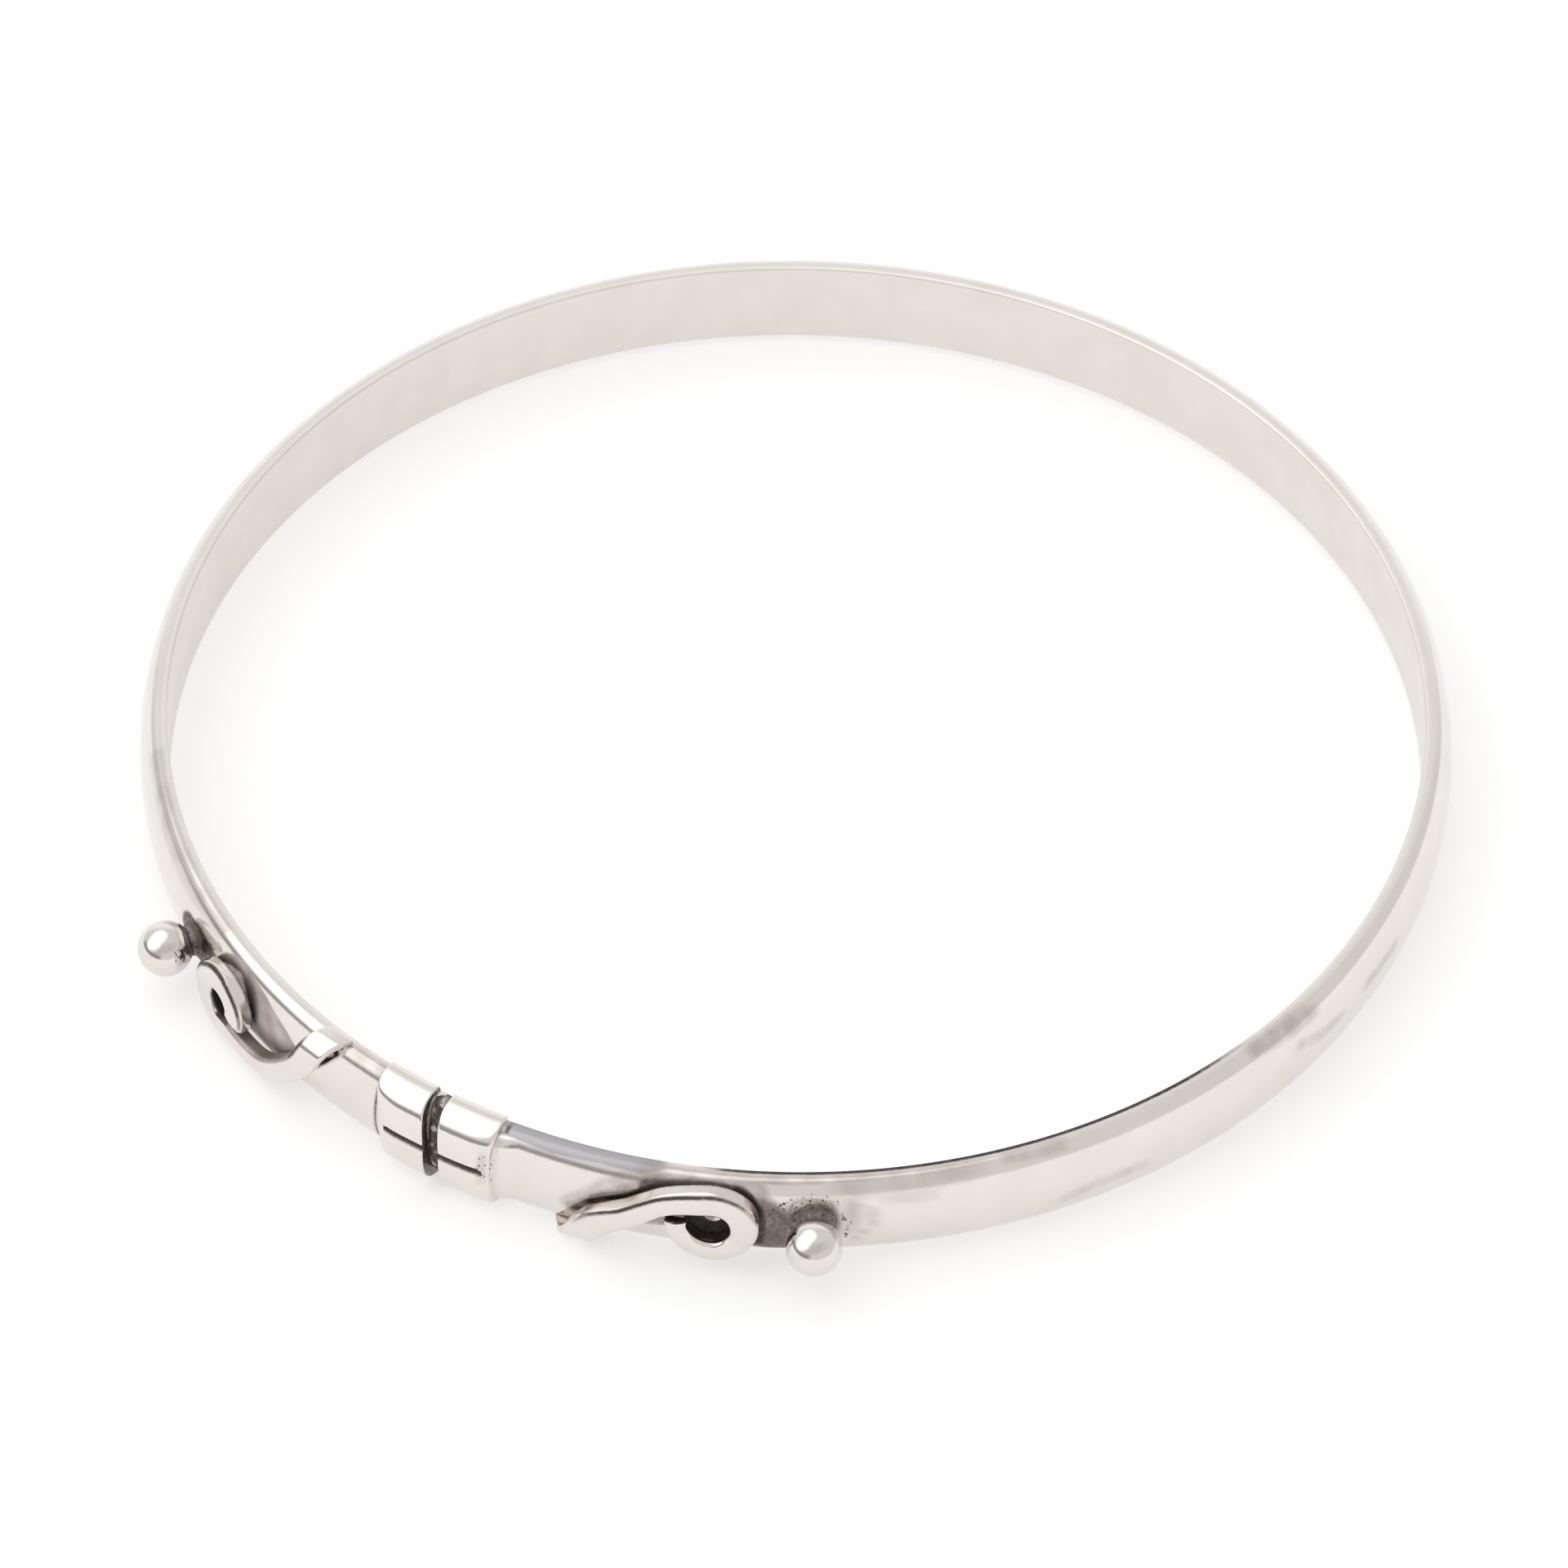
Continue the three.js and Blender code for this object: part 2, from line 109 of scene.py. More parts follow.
def tube_mesh(name, rings, marks):
    """Closed skin over rings (count, points, 3), each closed on itself, with a fan over each end.
    marks are values on the same points, kept as attributes; a fan's middle takes its ring's mean.
    Edges that turn by more than SHARP are kept sharp."""
    count, around = rings.shape[:2]
    verts = np.concatenate([rings.reshape(-1, 3), [rings[0].mean(0)], [rings[-1].mean(0)]])
    i, j = np.meshgrid(np.arange(count - 1), np.arange(around), indexing="ij")
    k = (j + 1) % around
    quads = np.stack([i * around + j, i * around + k, (i + 1) * around + k, (i + 1) * around + j], -1)
    j = np.arange(around)
    k = (j + 1) % around
    first, last = count * around, count * around + 1
    head = np.stack([np.full(around, first), k, j], -1)
    tail = np.stack([np.full(around, last), (count - 1) * around + j, (count - 1) * around + k], -1)
    quads, caps = quads.reshape(-1, 4), np.concatenate([head, tail])
    a, b, c, d = (verts[quads[:, n]] for n in range(4))
    volume = (a * (np.cross(b, c) + np.cross(c, d))).sum()
    a, b, c = (verts[caps[:, n]] for n in range(3))
    volume += (a * np.cross(b, c)).sum()
    if volume < 0:      # then the faces look inward
        quads, caps = quads[:, ::-1], caps[:, ::-1]
    mesh = bpy.data.meshes.new(name)
    mesh.from_pydata(verts.tolist(), [], quads.tolist() + caps.tolist())
    mesh.polygons.foreach_set("use_smooth", np.ones(len(mesh.polygons), bool))
    mesh.set_sharp_from_angle(angle=SHARP)
    for mark, values in marks.items():
        values = np.broadcast_to(values, (count, around)).astype(np.float32)
        ends = [values[0].mean(), values[-1].mean()]
        layer = mesh.attributes.new(mark, "FLOAT", "POINT")
        layer.data.foreach_set("value", np.concatenate([values.ravel(), ends]).astype(np.float32))
    mesh.update()
    piece = bpy.data.objects.new(name, mesh)
    bpy.context.scene.collection.objects.link(piece)
    return piece


def silver(name, colour, polish, grain=0.03, wave=0.02, pits=0.0):
    """Polished silver that blackens at the piece's soot mark, where oxide and painted shade lie, browns
    at its stain mark, where stain, painted shade and painted reflections lie, goes bluish grey at its
    slate mark, a painted reflection, satin at "satin" and pitted at "pits". polish is its roughness
    where clean, grain how much fine scratching changes that, wave the unevenness in tenths of a mm,
    pits a depth in m."""
    material = bpy.data.materials.new(name)
    material.use_nodes = True
    tree = material.node_tree
    nodes, links = tree.nodes, tree.links
    shader = nodes["Principled BSDF"]

    def node(kind, **values):
        made = nodes.new(kind)
        for key, value in values.items():
            if hasattr(made, key):
                setattr(made, key, value)
            else:
                made.inputs[key].default_value = value
        return made

    def maths(operation, a, b):
        made = node("ShaderNodeMath", operation=operation)
        for slot, value in enumerate((a, b)):
            if isinstance(value, (int, float)):
                made.inputs[slot].default_value = value
            else:
                links.new(value, made.inputs[slot])
        return made.outputs[0]

    def mark(mark_name):
        return node("ShaderNodeAttribute", attribute_name=mark_name).outputs["Fac"]

    def noise(scale, detail, roughness=0.55):
        made = node("ShaderNodeTexNoise", Scale=scale, Detail=detail, Roughness=roughness)
        links.new(place, made.inputs["Vector"])
        return made.outputs["Fac"]

    def remap(value, low, high, to_low, to_high):
        made = node("ShaderNodeMapRange", **{"From Min": low, "From Max": high,
                                             "To Min": to_low, "To Max": to_high})
        links.new(value, made.inputs["Value"])
        return made.outputs["Result"]

    def blend(share, a, b):
        made = nodes.new("ShaderNodeMix")
        made.data_type = "RGBA"
        links.new(share, made.inputs["Factor"])
        for slot, value in ((6, a), (7, b)):
            if isinstance(value, tuple):
                made.inputs[slot].default_value = (*value, 1)
            else:
                links.new(value, made.inputs[slot])
        return made.outputs[2]

    place = node("ShaderNodeTexCoord").outputs["Object"]
    cloud = noise(CLOUDS, 3)
    speck = noise(SPECKS, 4, 0.7)
    dark = mark("soot_and_shade")
    if pits:
        holes = node("ShaderNodeTexVoronoi", Scale=PIT_CELLS)
        links.new(place, holes.inputs["Vector"])
        deep = maths("MULTIPLY", remap(holes.outputs["Distance"], 0.2, 0.42, 1, 0), mark("pits"))
        deep = maths("MULTIPLY", deep, remap(speck, 0.42, 0.56, 0, 1))
        dark = maths("MAXIMUM", dark, maths("MULTIPLY", deep, 0.75))
    uneven = maths("MULTIPLY", maths("SUBTRACT", speck, 0.5), maths("MULTIPLY", dark, 1.2))
    soot_and_shade = remap(maths("ADD", dark, uneven), 0.05, 0.95, 0, 1)
    stain_and_shade = maths("MULTIPLY", mark("stain_and_shade"), remap(cloud, 0.3, 0.6, 0.55, 1.0))
    clouded = tuple(c * left for c, left in zip(colour, DULLED))
    clean = blend(remap(cloud, 0.35, 0.7, 0, 1), colour, clouded)
    browned_colour = blend(stain_and_shade, blend(mark("top_reflection"), clean, SLATE_REFLECTION), STAIN_AND_SHADE_BROWN)
    brown = blend(remap(soot_and_shade, 0.0, 0.6, 0, 1), browned_colour, SOOT_AND_SHADE_EDGE)
    links.new(blend(remap(soot_and_shade, 0.35, 1, 0, 1), brown, SOOT_AND_SHADE_BLACK), shader.inputs["Base Color"])
    links.new(remap(soot_and_shade, 0.3, 1, 1, 0.5), shader.inputs["Metallic"])
    gloss = maths("ADD", remap(mark("satin"), 0, 1, polish, 0.42), maths("MULTIPLY", soot_and_shade, 0.3))
    gloss = maths("ADD", gloss, remap(speck, 0.3, 0.7, -grain, grain))
    gloss = maths("ADD", gloss, maths("MULTIPLY", mark("top_reflection"), 0.3))
    links.new(maths("ADD", gloss, maths("MULTIPLY", stain_and_shade, 0.15)), shader.inputs["Roughness"])
    swell = node("ShaderNodeBump", Strength=1.0, Distance=0.0001 * wave)
    links.new(noise(SWELLS, 1), swell.inputs["Height"])
    rub = node("ShaderNodeBump", Strength=0.5, Distance=0.000004)
    links.new(noise(SCRATCHES, 3), rub.inputs["Height"])
    links.new(swell.outputs[0], rub.inputs["Normal"])
    last = rub
    if pits:
        last = node("ShaderNodeBump", Strength=0.6, Distance=-pits)
        links.new(deep, last.inputs["Height"])
        links.new(rub.outputs[0], last.inputs["Normal"])
    links.new(last.outputs[0], shader.inputs["Normal"])
    return material


def finish(piece, material, node_name):
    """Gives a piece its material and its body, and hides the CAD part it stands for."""
    piece.data.materials.append(material)
    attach(piece, "root")
    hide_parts(node_name)


def band_outline():
    """Section of the band, once round: flat inside, quarter-round inner rims, flat edges and the
    half-round outside."""
    quarter = np.linspace(0, np.pi / 2, 6)
    inside = np.linspace(1, -1, 22) * (BAND_HALF_WIDTH - BAND_BREAK)
    dome = np.linspace(-np.pi / 2, np.pi / 2, 72)
    rim_r = WRIST_RADIUS + BAND_BREAK * (1 - np.cos(quarter))
    rim_z = BAND_HALF_WIDTH - BAND_BREAK + BAND_BREAK * np.sin(quarter)
    edge = np.linspace(WRIST_RADIUS + BAND_BREAK, WRIST_RADIUS + BAND_EDGE, 5)[1:-1]
    level = np.full(len(edge), BAND_HALF_WIDTH)
    radius = np.concatenate([np.full(len(inside), WRIST_RADIUS), rim_r[1:], edge, half_round(dome),
                             edge[::-1], rim_r[:0:-1]])
    height = np.concatenate([inside, -rim_z[1:], -level, BAND_HALF_WIDTH * np.sin(dome), level,
                             rim_z[:0:-1]])
    return radius, height


start = SEAM_HALF / WRIST_RADIUS
angles = np.concatenate([np.linspace(start, FINE_ANGLE, 200)[:-1],
                         np.linspace(FINE_ANGLE, 2 * np.pi - FINE_ANGLE, 340)[:-1],
                         np.linspace(2 * np.pi - FINE_ANGLE, 2 * np.pi - start, 200)])
section_r, section_z = band_outline()
band_angle, band_r = np.meshgrid(angles, section_r, indexing="ij")
band_z = np.broadcast_to(section_z, band_r.shape)
rest = on_ring(band_r, band_angle, band_z)
hand_worn = 0.012 * (np.minimum(smooth_noise(rest, 0.011, 4), 1.1) - 1.1)
outward = step_up(band_r, WRIST_RADIUS + 0.2, CROWN_RADIUS - 0.3)
band_rings = on_ring(band_r + hand_worn * outward, band_angle, band_z)
along = np.where(band_angle > np.pi, band_angle - 2 * np.pi, band_angle) * LANE_RADIUS


def nearness(distance, height, line, reach):
    """1 on a line of (distance, height, half width) points, falling to 0 at reach mm beyond its width,
    by the distance to the nearest of its straight runs."""
    line = np.array(line, float)
    best = np.full(distance.shape, 99.0)
    for a, b in zip(line[:-1], line[1:]):
        run = b[:2] - a[:2]
        t = ((distance - a[0]) * run[0] + (height - a[1]) * run[1]) / (run @ run)
        t = np.clip(t, 0, 1)
        gap = np.hypot(distance - a[0] - t * run[0], height - a[1] - t * run[1])
        best = np.minimum(best, gap - (a[2] + t * (b[2] - a[2])))
    return 1 - step_up(best, 0, reach)


outside = step_up(band_r, WRIST_RADIUS + 0.05, WRIST_RADIUS + 0.5)
top_edge = step_up(band_z, BAND_HALF_WIDTH - 0.12, BAND_HALF_WIDTH - 0.06)
inner_rim = top_edge * (1 - step_up(band_r, WRIST_RADIUS + 0.2, WRIST_RADIUS + 0.34))


def oxide(strength, reach, *line):
    """A mark of a strength along a line of (distance, height, half width) points, faded over reach mm."""
    return strength * nearness(along, band_z, line, reach)


# Black: oxide with painted shade along the scrolls' upper sides and in the band's wedge under the
# right eye; black left at the balls' feet, at the collars' ends, in the seam, and on the inner rim
# beside the right scroll.
soot_and_shade = np.maximum.reduce([
    # oxide with painted shade, hugging the right scroll and under its eye
    oxide(0.22, 0.35, (7.7, -0.75, 0.2), (9.8, 0.9, 0.2), (11.3, 1.7, 0.15), (12.2, 2.0, 0.15)),
    oxide(0.45, 0.25, (11.6, 1.7, 0.3), (14.0, 2.1, 0.15), (15.5, 2.1, 0.15), (16.5, 1.7, 0.3)),
    oxide(0.9, 0.6, (16.3, 1.5, 0.4), (17.1, 0.8, 0.4), (17.2, 0.0, 0.35), (17.2, -1.3, 0.3)),
    oxide(0.46, 0.9, (17.3, 0.9, 0.5), (18.2, 0.3, 0.6), (18.2, -1.4, 0.6)),
    oxide(0.4, 0.3, (9.0, -2.0, 0.5), (11.0, -0.3, 0.5), (14, 0.8, 1.2)),
    oxide(0.42, 0.35, (20.0, 0.2, 0.95), (20.5, 0.3, 1.0)),
    oxide(0.8, 0.4, (-18.6, 0.2, 0.4), (-19.4, 0.1, 0.9), (-20.1, 0.1, 0.9)),
    oxide(0.6, 0.25, (-17.2, 0.8, 0.15), (-18.4, 0.5, 0.2)),
    oxide(0.55, 0.12, (-3.97, -3, 0.04), (-3.9, 3, 0.04)),
    oxide(0.5, 0.15, (3.75, 1.6, 0.03), (3.75, 3, 0.08)),
    oxide(0.85, 0.1, (0, -3, 0.45), (0, 3, 0.45)),
]) * outside
soot_and_shade = np.maximum(soot_and_shade, 0.8 * inner_rim * step_up(along, 13.5, 17) * (1 - step_up(along, 40, 48)))

# Browns: painted shade in a patch above the left scroll and hugging the right scroll's lead;
# fire-stain with painted shade behind the right eye and its ball; fire-stain smudges round the
# right side; painted shade towards the band's bottom; and a painted bluish reflection in a strip
# between the right collar and its scroll.
shade_top = np.interp(along, [-17.3, -16.9, -16.5, -15.8, -14.6, -13.4, -12.4, -11.3, -10.4, -9.4],
                      [0.5, 1.2, 1.8, 2.14, 2.28, 2.06, 1.85, 1.47, 1.1, 0.5])
left_shade = (1 - step_up(band_z, shade_top - 0.06, shade_top + 0.06)) * step_up(band_z, -2.2, -1.6)
left_shade = left_shade * step_up(along, -18.4, -17.2) * (1 - step_up(along, -9.6, -9.2))
ruffle = 0.25 * smooth_noise(rest, 0.0016, 12)
stain_and_shade = np.maximum.reduce([
    # painted shade: a brown patch above the left scroll
    0.85 * left_shade,
    # fire-stain with painted shade between the right eye and its ball
    oxide(0.95, 0.7, (17.6, 1.2, 0.3), (18.4, 0.2, 0.8), (18.4, -1.4, 0.8)),
    oxide(0.5, 0.9, (19.0, 0.6, 0.6), (21.5, 0.6, 0.9)),
    # painted shade hugging the right scroll's lead
    oxide(0.55, 0.5, (7.7, -0.6, 0.4), (9.8, 1.1, 0.5), (11.8, 2.0, 0.5), (15.5, 2.3, 0.5),
          (17.2, 1.8, 0.5)),
    oxide(0.55, 0.1, (12.4, 2.55, 0.1), (19.0, 2.5, 0.1), (25.0, 2.55, 0.08)),
    oxide(0.5, 0.15, (-4.0, 2.5, 0.3), (-6.3, 2.55, 0.25)),
    oxide(0.35, 0.25, (22.3, 1.45, 0.03), (23.3, 1.0, 0.05), (23.6, 0.3, 0.05), (22.4, -1.1, 0.03)),
    oxide(0.3, 0.5, (24.0, 1.6, 0.1), (26.1, 1.45, 0.15)),
    oxide(0.32, 0.8, (21.5, 2.2, 0.2), (25.0, 2.3, 0.2), (29.0, 2.4, 0.05)),
    oxide(0.35, 0.3, (30.6, 2.5, 0.1), (33.5, 2.4, 0.15)),
    oxide(0.3, 0.5, (33.5, -1.0, 0.1), (35.5, -0.55, 0.15), (38.0, -0.65, 0.05)),
    oxide(0.42, 0.5, (45.8, 2.4, 0.1), (48.4, 2.2, 0.2), (50.5, 2.0, 0.05)),
    oxide(0.42, 0.45, (48.8, 0.95, 0.1), (50.6, 0.4, 0.15), (52.3, 0.3, 0.05)),
    oxide(0.38, 0.4, (54.8, 0.44, 0.1), (58.2, 0.43, 0.1)),
    oxide(0.35, 0.5, (-17.5, 2.4, 0.1), (-22.0, 2.3, 0.3), (-31.0, 2.5, 0.1)),
    # painted shade: browner towards the band's bottom
    0.22 * (1 - step_up(band_z, -2.5, -1.9)),
]) * np.clip(1 + ruffle, 0.4, 1.2) * outside
# Painted reflection: a bluish grey strip along the top edge between the right collar and the right
# scroll.
strip_low = np.interp(along, [4.0, 6.3, 9.0, 11.3, 12.6], [2.3, 2.2, 2.3, 2.25, 2.5])
top_reflection = step_up(band_z, strip_low - 0.02, strip_low + 0.03) * step_up(along, 3.2, 3.8)
top_reflection = 0.9 * top_reflection * (1 - step_up(along, 12.0, 13.0))
top_reflection = top_reflection * step_up(band_r, WRIST_RADIUS, WRIST_RADIUS + 0.04)
band_pits = np.maximum.reduce([
    oxide(1, 0.3, (18.1, 1.0, 0.15), (18.8, 1.2, 0.25), (19.4, 1.5, 0.15)),
    oxide(1, 0.25, (20.0, 1.65, 0.15), (20.5, 1.7, 0.2), (21.2, 1.45, 0.15)),
    oxide(1, 0.2, (21.7, 0.6, 0.1), (22.0, 0.2, 0.15), (22.0, -0.85, 0.1))]) * outside

band = tube_mesh("band_wire", band_rings, {
    "soot_and_shade": soot_and_shade, "stain_and_shade": stain_and_shade, "top_reflection": top_reflection, "satin": np.maximum(1 - outside, 0.8 * left_shade),
    "pits": band_pits})
finish(band, silver("band_silver", SILVER, 0.13, wave=0.05, pits=0.00006), "band")


# ---------------------------------------------------------------------------------------------
# The collars: a thick strip of silver formed over the band on each side of the seam, flush with
# its inside. Each is filed round on top, cut with one lengthwise line that is left oxidised, and
# soldered on.
# ---------------------------------------------------------------------------------------------
COLLAR_GAP = 0.88                  # between the two collars
COLLAR_LENGTH = 2.9
COLLAR_HALF_WIDTH = BAND_HALF_WIDTH + 0.28
COLLAR_RISE = 0.68                 # over the crown
COLLAR_END_RISE = 0.4              # the same at the far end
COLLAR_END_ROUND = 1.4             # length over which it falls
COLLAR_BREAK = 0.12                # round along both end edges
COLLAR_SQUARENESS = 2.9            # 2 would be an ellipse
COLLAR_FOOT = 0.04                 # how far the collar's feet stop short of the skin side
COLLAR_RADIUS = CROWN_RADIUS + COLLAR_RISE
COLLAR_LEAN = {"right": (-0.3, 0.15), "left": (0.35, 0.6)}      # of the top edge, near and far end
LINE_HEIGHT = 0.2
LINE_HALF_WIDTH = 0.19
LINE_DEPTH = 0.26
LINE_STOP = 0.35                   # left uncut at the far end
LINE_TAPER = 0.25


def quarter_round(x):
    """Height of a quarter circle, 0 at x = 0 and 1 from x = 1: the root of 1 - (1 - x)^2."""
    return np.sqrt(np.clip(1 - (1 - np.clip(x, 0, 1)) ** 2, 0, 1))


def collar_rings(side):
    """A rounded square |r|^n + |z|^n = 1 over the dome, carried along the ring. Its rise follows a
    quarter circle down to the far end, both ends are broken by a small round, and a V line is cut.
    Returns the rings, the black in the line, each point's height and each ring's reach."""
    near, far = COLLAR_LEAN[side]
    turn = 1 if side == "right" else -1
    steps = np.array([0, 0.012, 0.035, 0.07, COLLAR_BREAK])
    reach = np.concatenate([steps, np.linspace(0.2, COLLAR_LENGTH - 0.2, 46),
                            COLLAR_LENGTH - steps[::-1]])[:, None]
    count = len(reach)
    t = np.linspace(-np.pi / 2, np.pi / 2, 150)
    bulge = np.sign(np.cos(t)) * np.abs(np.cos(t)) ** (2 / COLLAR_SQUARENESS)
    level = np.sign(np.sin(t)) * np.abs(np.sin(t)) ** (2 / COLLAR_SQUARENESS)
    rounded = quarter_round((COLLAR_LENGTH - reach) / COLLAR_END_ROUND)
    rise = COLLAR_END_RISE + (COLLAR_RISE - COLLAR_END_RISE) * rounded
    broken = COLLAR_BREAK - np.minimum(np.minimum(reach, COLLAR_LENGTH - reach), COLLAR_BREAK)
    drop = COLLAR_BREAK - np.sqrt(COLLAR_BREAK**2 - broken**2)
    base = WRIST_RADIUS + BAND_EDGE / 2
    outer_r = base + (CROWN_RADIUS + rise - drop - base) * bulge
    outer_z = (COLLAR_HALF_WIDTH - drop * 0.6) * level * np.ones_like(reach)
    taper = np.sqrt(np.clip((COLLAR_LENGTH - LINE_STOP - reach) / LINE_TAPER, 0, 1))
    off_line = np.abs(outer_z - LINE_HEIGHT) / (LINE_HALF_WIDTH * np.maximum(taper, 0.05))
    line = np.clip(1 - off_line, 0, 1) ** 0.7 * np.minimum(taper * 2, 1) * (taper > 0)
    outer_r = outer_r - LINE_DEPTH * line
    inner_t = np.linspace(np.pi / 2, -np.pi / 2, 30)
    inner_r = np.broadcast_to(half_round(inner_t, -0.05), (count, 30))
    inner_z = np.broadcast_to((BAND_HALF_WIDTH - 0.02) * np.sin(inner_t), (count, 30))
    foot = np.full((count, 2), WRIST_RADIUS + COLLAR_FOOT)
    tops = np.array([[COLLAR_HALF_WIDTH - 0.06, BAND_HALF_WIDTH + 0.02]]) - drop * 0.6
    radius = np.concatenate([outer_r, foot, inner_r, foot], 1)
    height = np.concatenate([outer_z, tops, inner_z, -tops[:, ::-1]], 1)
    share = reach / COLLAR_LENGTH
    lean = (near + (far - near) * share) * np.clip(height / COLLAR_HALF_WIDTH, 0, 1) ** 2
    angle = turn * (COLLAR_GAP / 2 + reach + lean) / COLLAR_RADIUS
    line = np.concatenate([line, np.zeros((count, radius.shape[1] - line.shape[1]))], 1)
    rings = on_ring(radius, angle, height)
    worn = 0.010 * (np.minimum(smooth_noise(rings, 0.0032, 7 if side == "right" else 8), 1.2) - 1.2)
    rings = on_ring(radius + worn * step_up(radius, CROWN_RADIUS - 0.6, CROWN_RADIUS), angle, height)
    near_end = 0.5 * (1 - step_up(reach, 0.0, 0.05))
    return rings, np.maximum(step_up(line, 0.1, 0.45), near_end), height, reach


collar_silver = silver("collar_silver", tuple(c * 1.02 for c in SILVER), 0.09, wave=0.05, pits=0.00005)
for side in ("right", "left"):
    rings, soot_and_shade, height, reach = collar_rings(side)
    solder_spots = 0.0
    if side == "right":
        solder_spots = np.exp(-(((reach - 2.5) / 0.25) ** 4) - ((height - 0.55) / 1.1) ** 4)
    # Painted shade: the collar browns towards its bottom.
    low_side_shade = 0.25 * (1 - step_up(height, -2.75, -2.2))
    piece = tube_mesh("collar_" + side + "_cuff", rings, {
        "soot_and_shade": soot_and_shade, "stain_and_shade": 0.35 * solder_spots + low_side_shade, "satin": 0.0, "pits": solder_spots})
    finish(piece, collar_silver, "collar_" + side)


# ---------------------------------------------------------------------------------------------
# The run-out: silver solder that has flowed from the right collar's far end on to the band, filed
# to a smooth slope and polished with it. It is pitted beside the collar, where the line ends.
# ---------------------------------------------------------------------------------------------
RUN_OUT = 1.25                     # length of the solder beyond the right collar
RUN_UNDER = 0.15                   # and under it


def fillet_rings():
    """Solder run-out: the dome raised by a share that falls to the power 1.8 from the collar to just
    below the band's own dome, and that dies away towards the band's upper edge."""
    reach = np.linspace(-RUN_UNDER, RUN_OUT, 30)[:, None]
    t = np.linspace(-1.42, 1.25, 70)
    share = np.clip(1 - reach / RUN_OUT, 0, 1)
    fade = (1 - step_up(t, 0.75, 1.25)) * (1 - step_up(-t, 1.15, 1.45) * 0.5)
    rise = (COLLAR_END_RISE - 0.02) * share**1.8 * fade - 0.03 * (1 - share)
    height = (BAND_HALF_WIDTH + rise * 0.45) * np.sin(t)
    inner_r = np.broadcast_to(half_round(t[::-1], -0.06), height.shape)
    inner_z = np.broadcast_to((BAND_HALF_WIDTH - 0.05) * np.sin(t[::-1]), height.shape)
    radius = np.concatenate([half_round(t, rise), inner_r], 1)
    height = np.concatenate([height, inner_z], 1)
    lean = COLLAR_LEAN["right"][1] * np.clip(height / COLLAR_HALF_WIDTH, 0, 1) ** 2
    angle = (COLLAR_GAP / 2 + COLLAR_LENGTH + reach + lean) / COLLAR_RADIUS
    return on_ring(radius, angle, height), reach, height


rings, reach, height = fillet_rings()
piece = tube_mesh("collar_run_out", rings, {
    "soot_and_shade": 0.0, "stain_and_shade": 0.25 * np.exp(-((reach / 0.3) ** 2)), "satin": 0.0,
    # painted reflection: the band's bluish strip carried on along the top edge
    "top_reflection": 0.9 * step_up(height, 2.26, 2.32),
    "pits": np.exp(-((reach / 0.25) ** 2) - ((height - 0.4) / 1.2) ** 2)})
finish(piece, collar_silver, "collar_fillet")


# ---------------------------------------------------------------------------------------------
# The seam: silver solder that fills the joint between the band's two ends, left rough in the gap
# between the collars and oxidised black, with a few bright lumps of solder standing in it.
# ---------------------------------------------------------------------------------------------
SEAM_FILL_HALF = 0.42
SEAM_LEAN = 0.325                  # of the gap's upper end, between the collars' own leans


def seam_rings():
    """The band's section carried across the gap, its outside pushed in and out by two noises, with
    its ends eased in. Returns the rings and where the lumps stand high enough to be bright."""
    across = np.linspace(-SEAM_FILL_HALF, SEAM_FILL_HALF, 22)[:, None]
    t = np.linspace(-np.pi / 2, np.pi / 2, 150)
    flat = np.broadcast_arrays(across, np.sin(t) * BAND_HALF_WIDTH, 0.0)
    rough = np.stack(flat, -1) * 0.001
    lumps = smooth_noise(rough, 0.0009, 21) * 0.5 + smooth_noise(rough, 0.00035, 22) * 0.3
    middle = np.sqrt(1 - (np.abs(across) / (SEAM_FILL_HALF + 0.01)) ** 6)
    rise = (0.08 + 0.13 * lumps) * middle - 0.1 * (1 - middle)
    height = (BAND_HALF_WIDTH + 0.02 + rise * 0.5) * np.sin(t)
    inner_z = np.broadcast_to(np.linspace(1, -1, 16) * (BAND_HALF_WIDTH - 0.05), (len(across), 16))
    radius = np.concatenate([half_round(t, rise), np.full(inner_z.shape, WRIST_RADIUS + 0.03)], 1)
    height = np.concatenate([height, inner_z], 1)
    lean = -SEAM_LEAN * np.clip(height / COLLAR_HALF_WIDTH, 0, 1) ** 2
    bright = np.concatenate([step_up(lumps, 0.35, 0.75), np.zeros(inner_z.shape)], 1)
    return on_ring(radius, (across + lean) / CROWN_RADIUS, height), bright


rings, bright = seam_rings()
piece = tube_mesh("seam_solder_fill", rings, {
    "soot_and_shade": 0.55 - 0.5 * bright, "stain_and_shade": 0.6, "satin": 0.6, "pits": 0.6})
finish(piece, silver("seam_solder_metal", (0.62, 0.59, 0.56), 0.3, grain=0.08, wave=0.3, pits=0.00006),
       "seam_solder")


# ---------------------------------------------------------------------------------------------
# The scrolls: flat wire, hammered wider at the eye, filed thin at the foot, bent over the band's
# edge and curled into an open eye. The face is polished, with painted dark reflections along its
# front edges; the wire's sides are mirror-bright on top and oxidised black inside the eye, and
# black with oxide and painted shade where they meet the band, with painted shade on their lower edges.
SCROLL_TIP = 0.32                  # thickness filed to at the foot
SCROLL_TOE = 0.35                  # how far the foot stops short of the skin side
FOOT_GAP = 0.03                    # between the foot and the band's edge
FOOT_BEND = 1.1                    # radius of the bend, on the wire's middle
FOOT_BEND_TOP = FOOT_BEND - BAND_HALF_WIDTH - FOOT_GAP - SCROLL_TIP / 2
FOOT_FLAT = LANE_RADIUS - FOOT_BEND - WRIST_RADIUS - SCROLL_TOE
FOOT_END = FOOT_BEND_TOP - np.pi / 2 * FOOT_BEND - FOOT_FLAT
FREE_END_ROUND = 0.15
FOOT_END_ROUND = 0.12
WIRE_NICK = 0.04                   # round on the wire's two back edges
WIRE_CROWN = 0.05                  # rise of its face, as a share of its thickness
EYE_START = 105.0                  # degrees; where the curl takes over from the lead
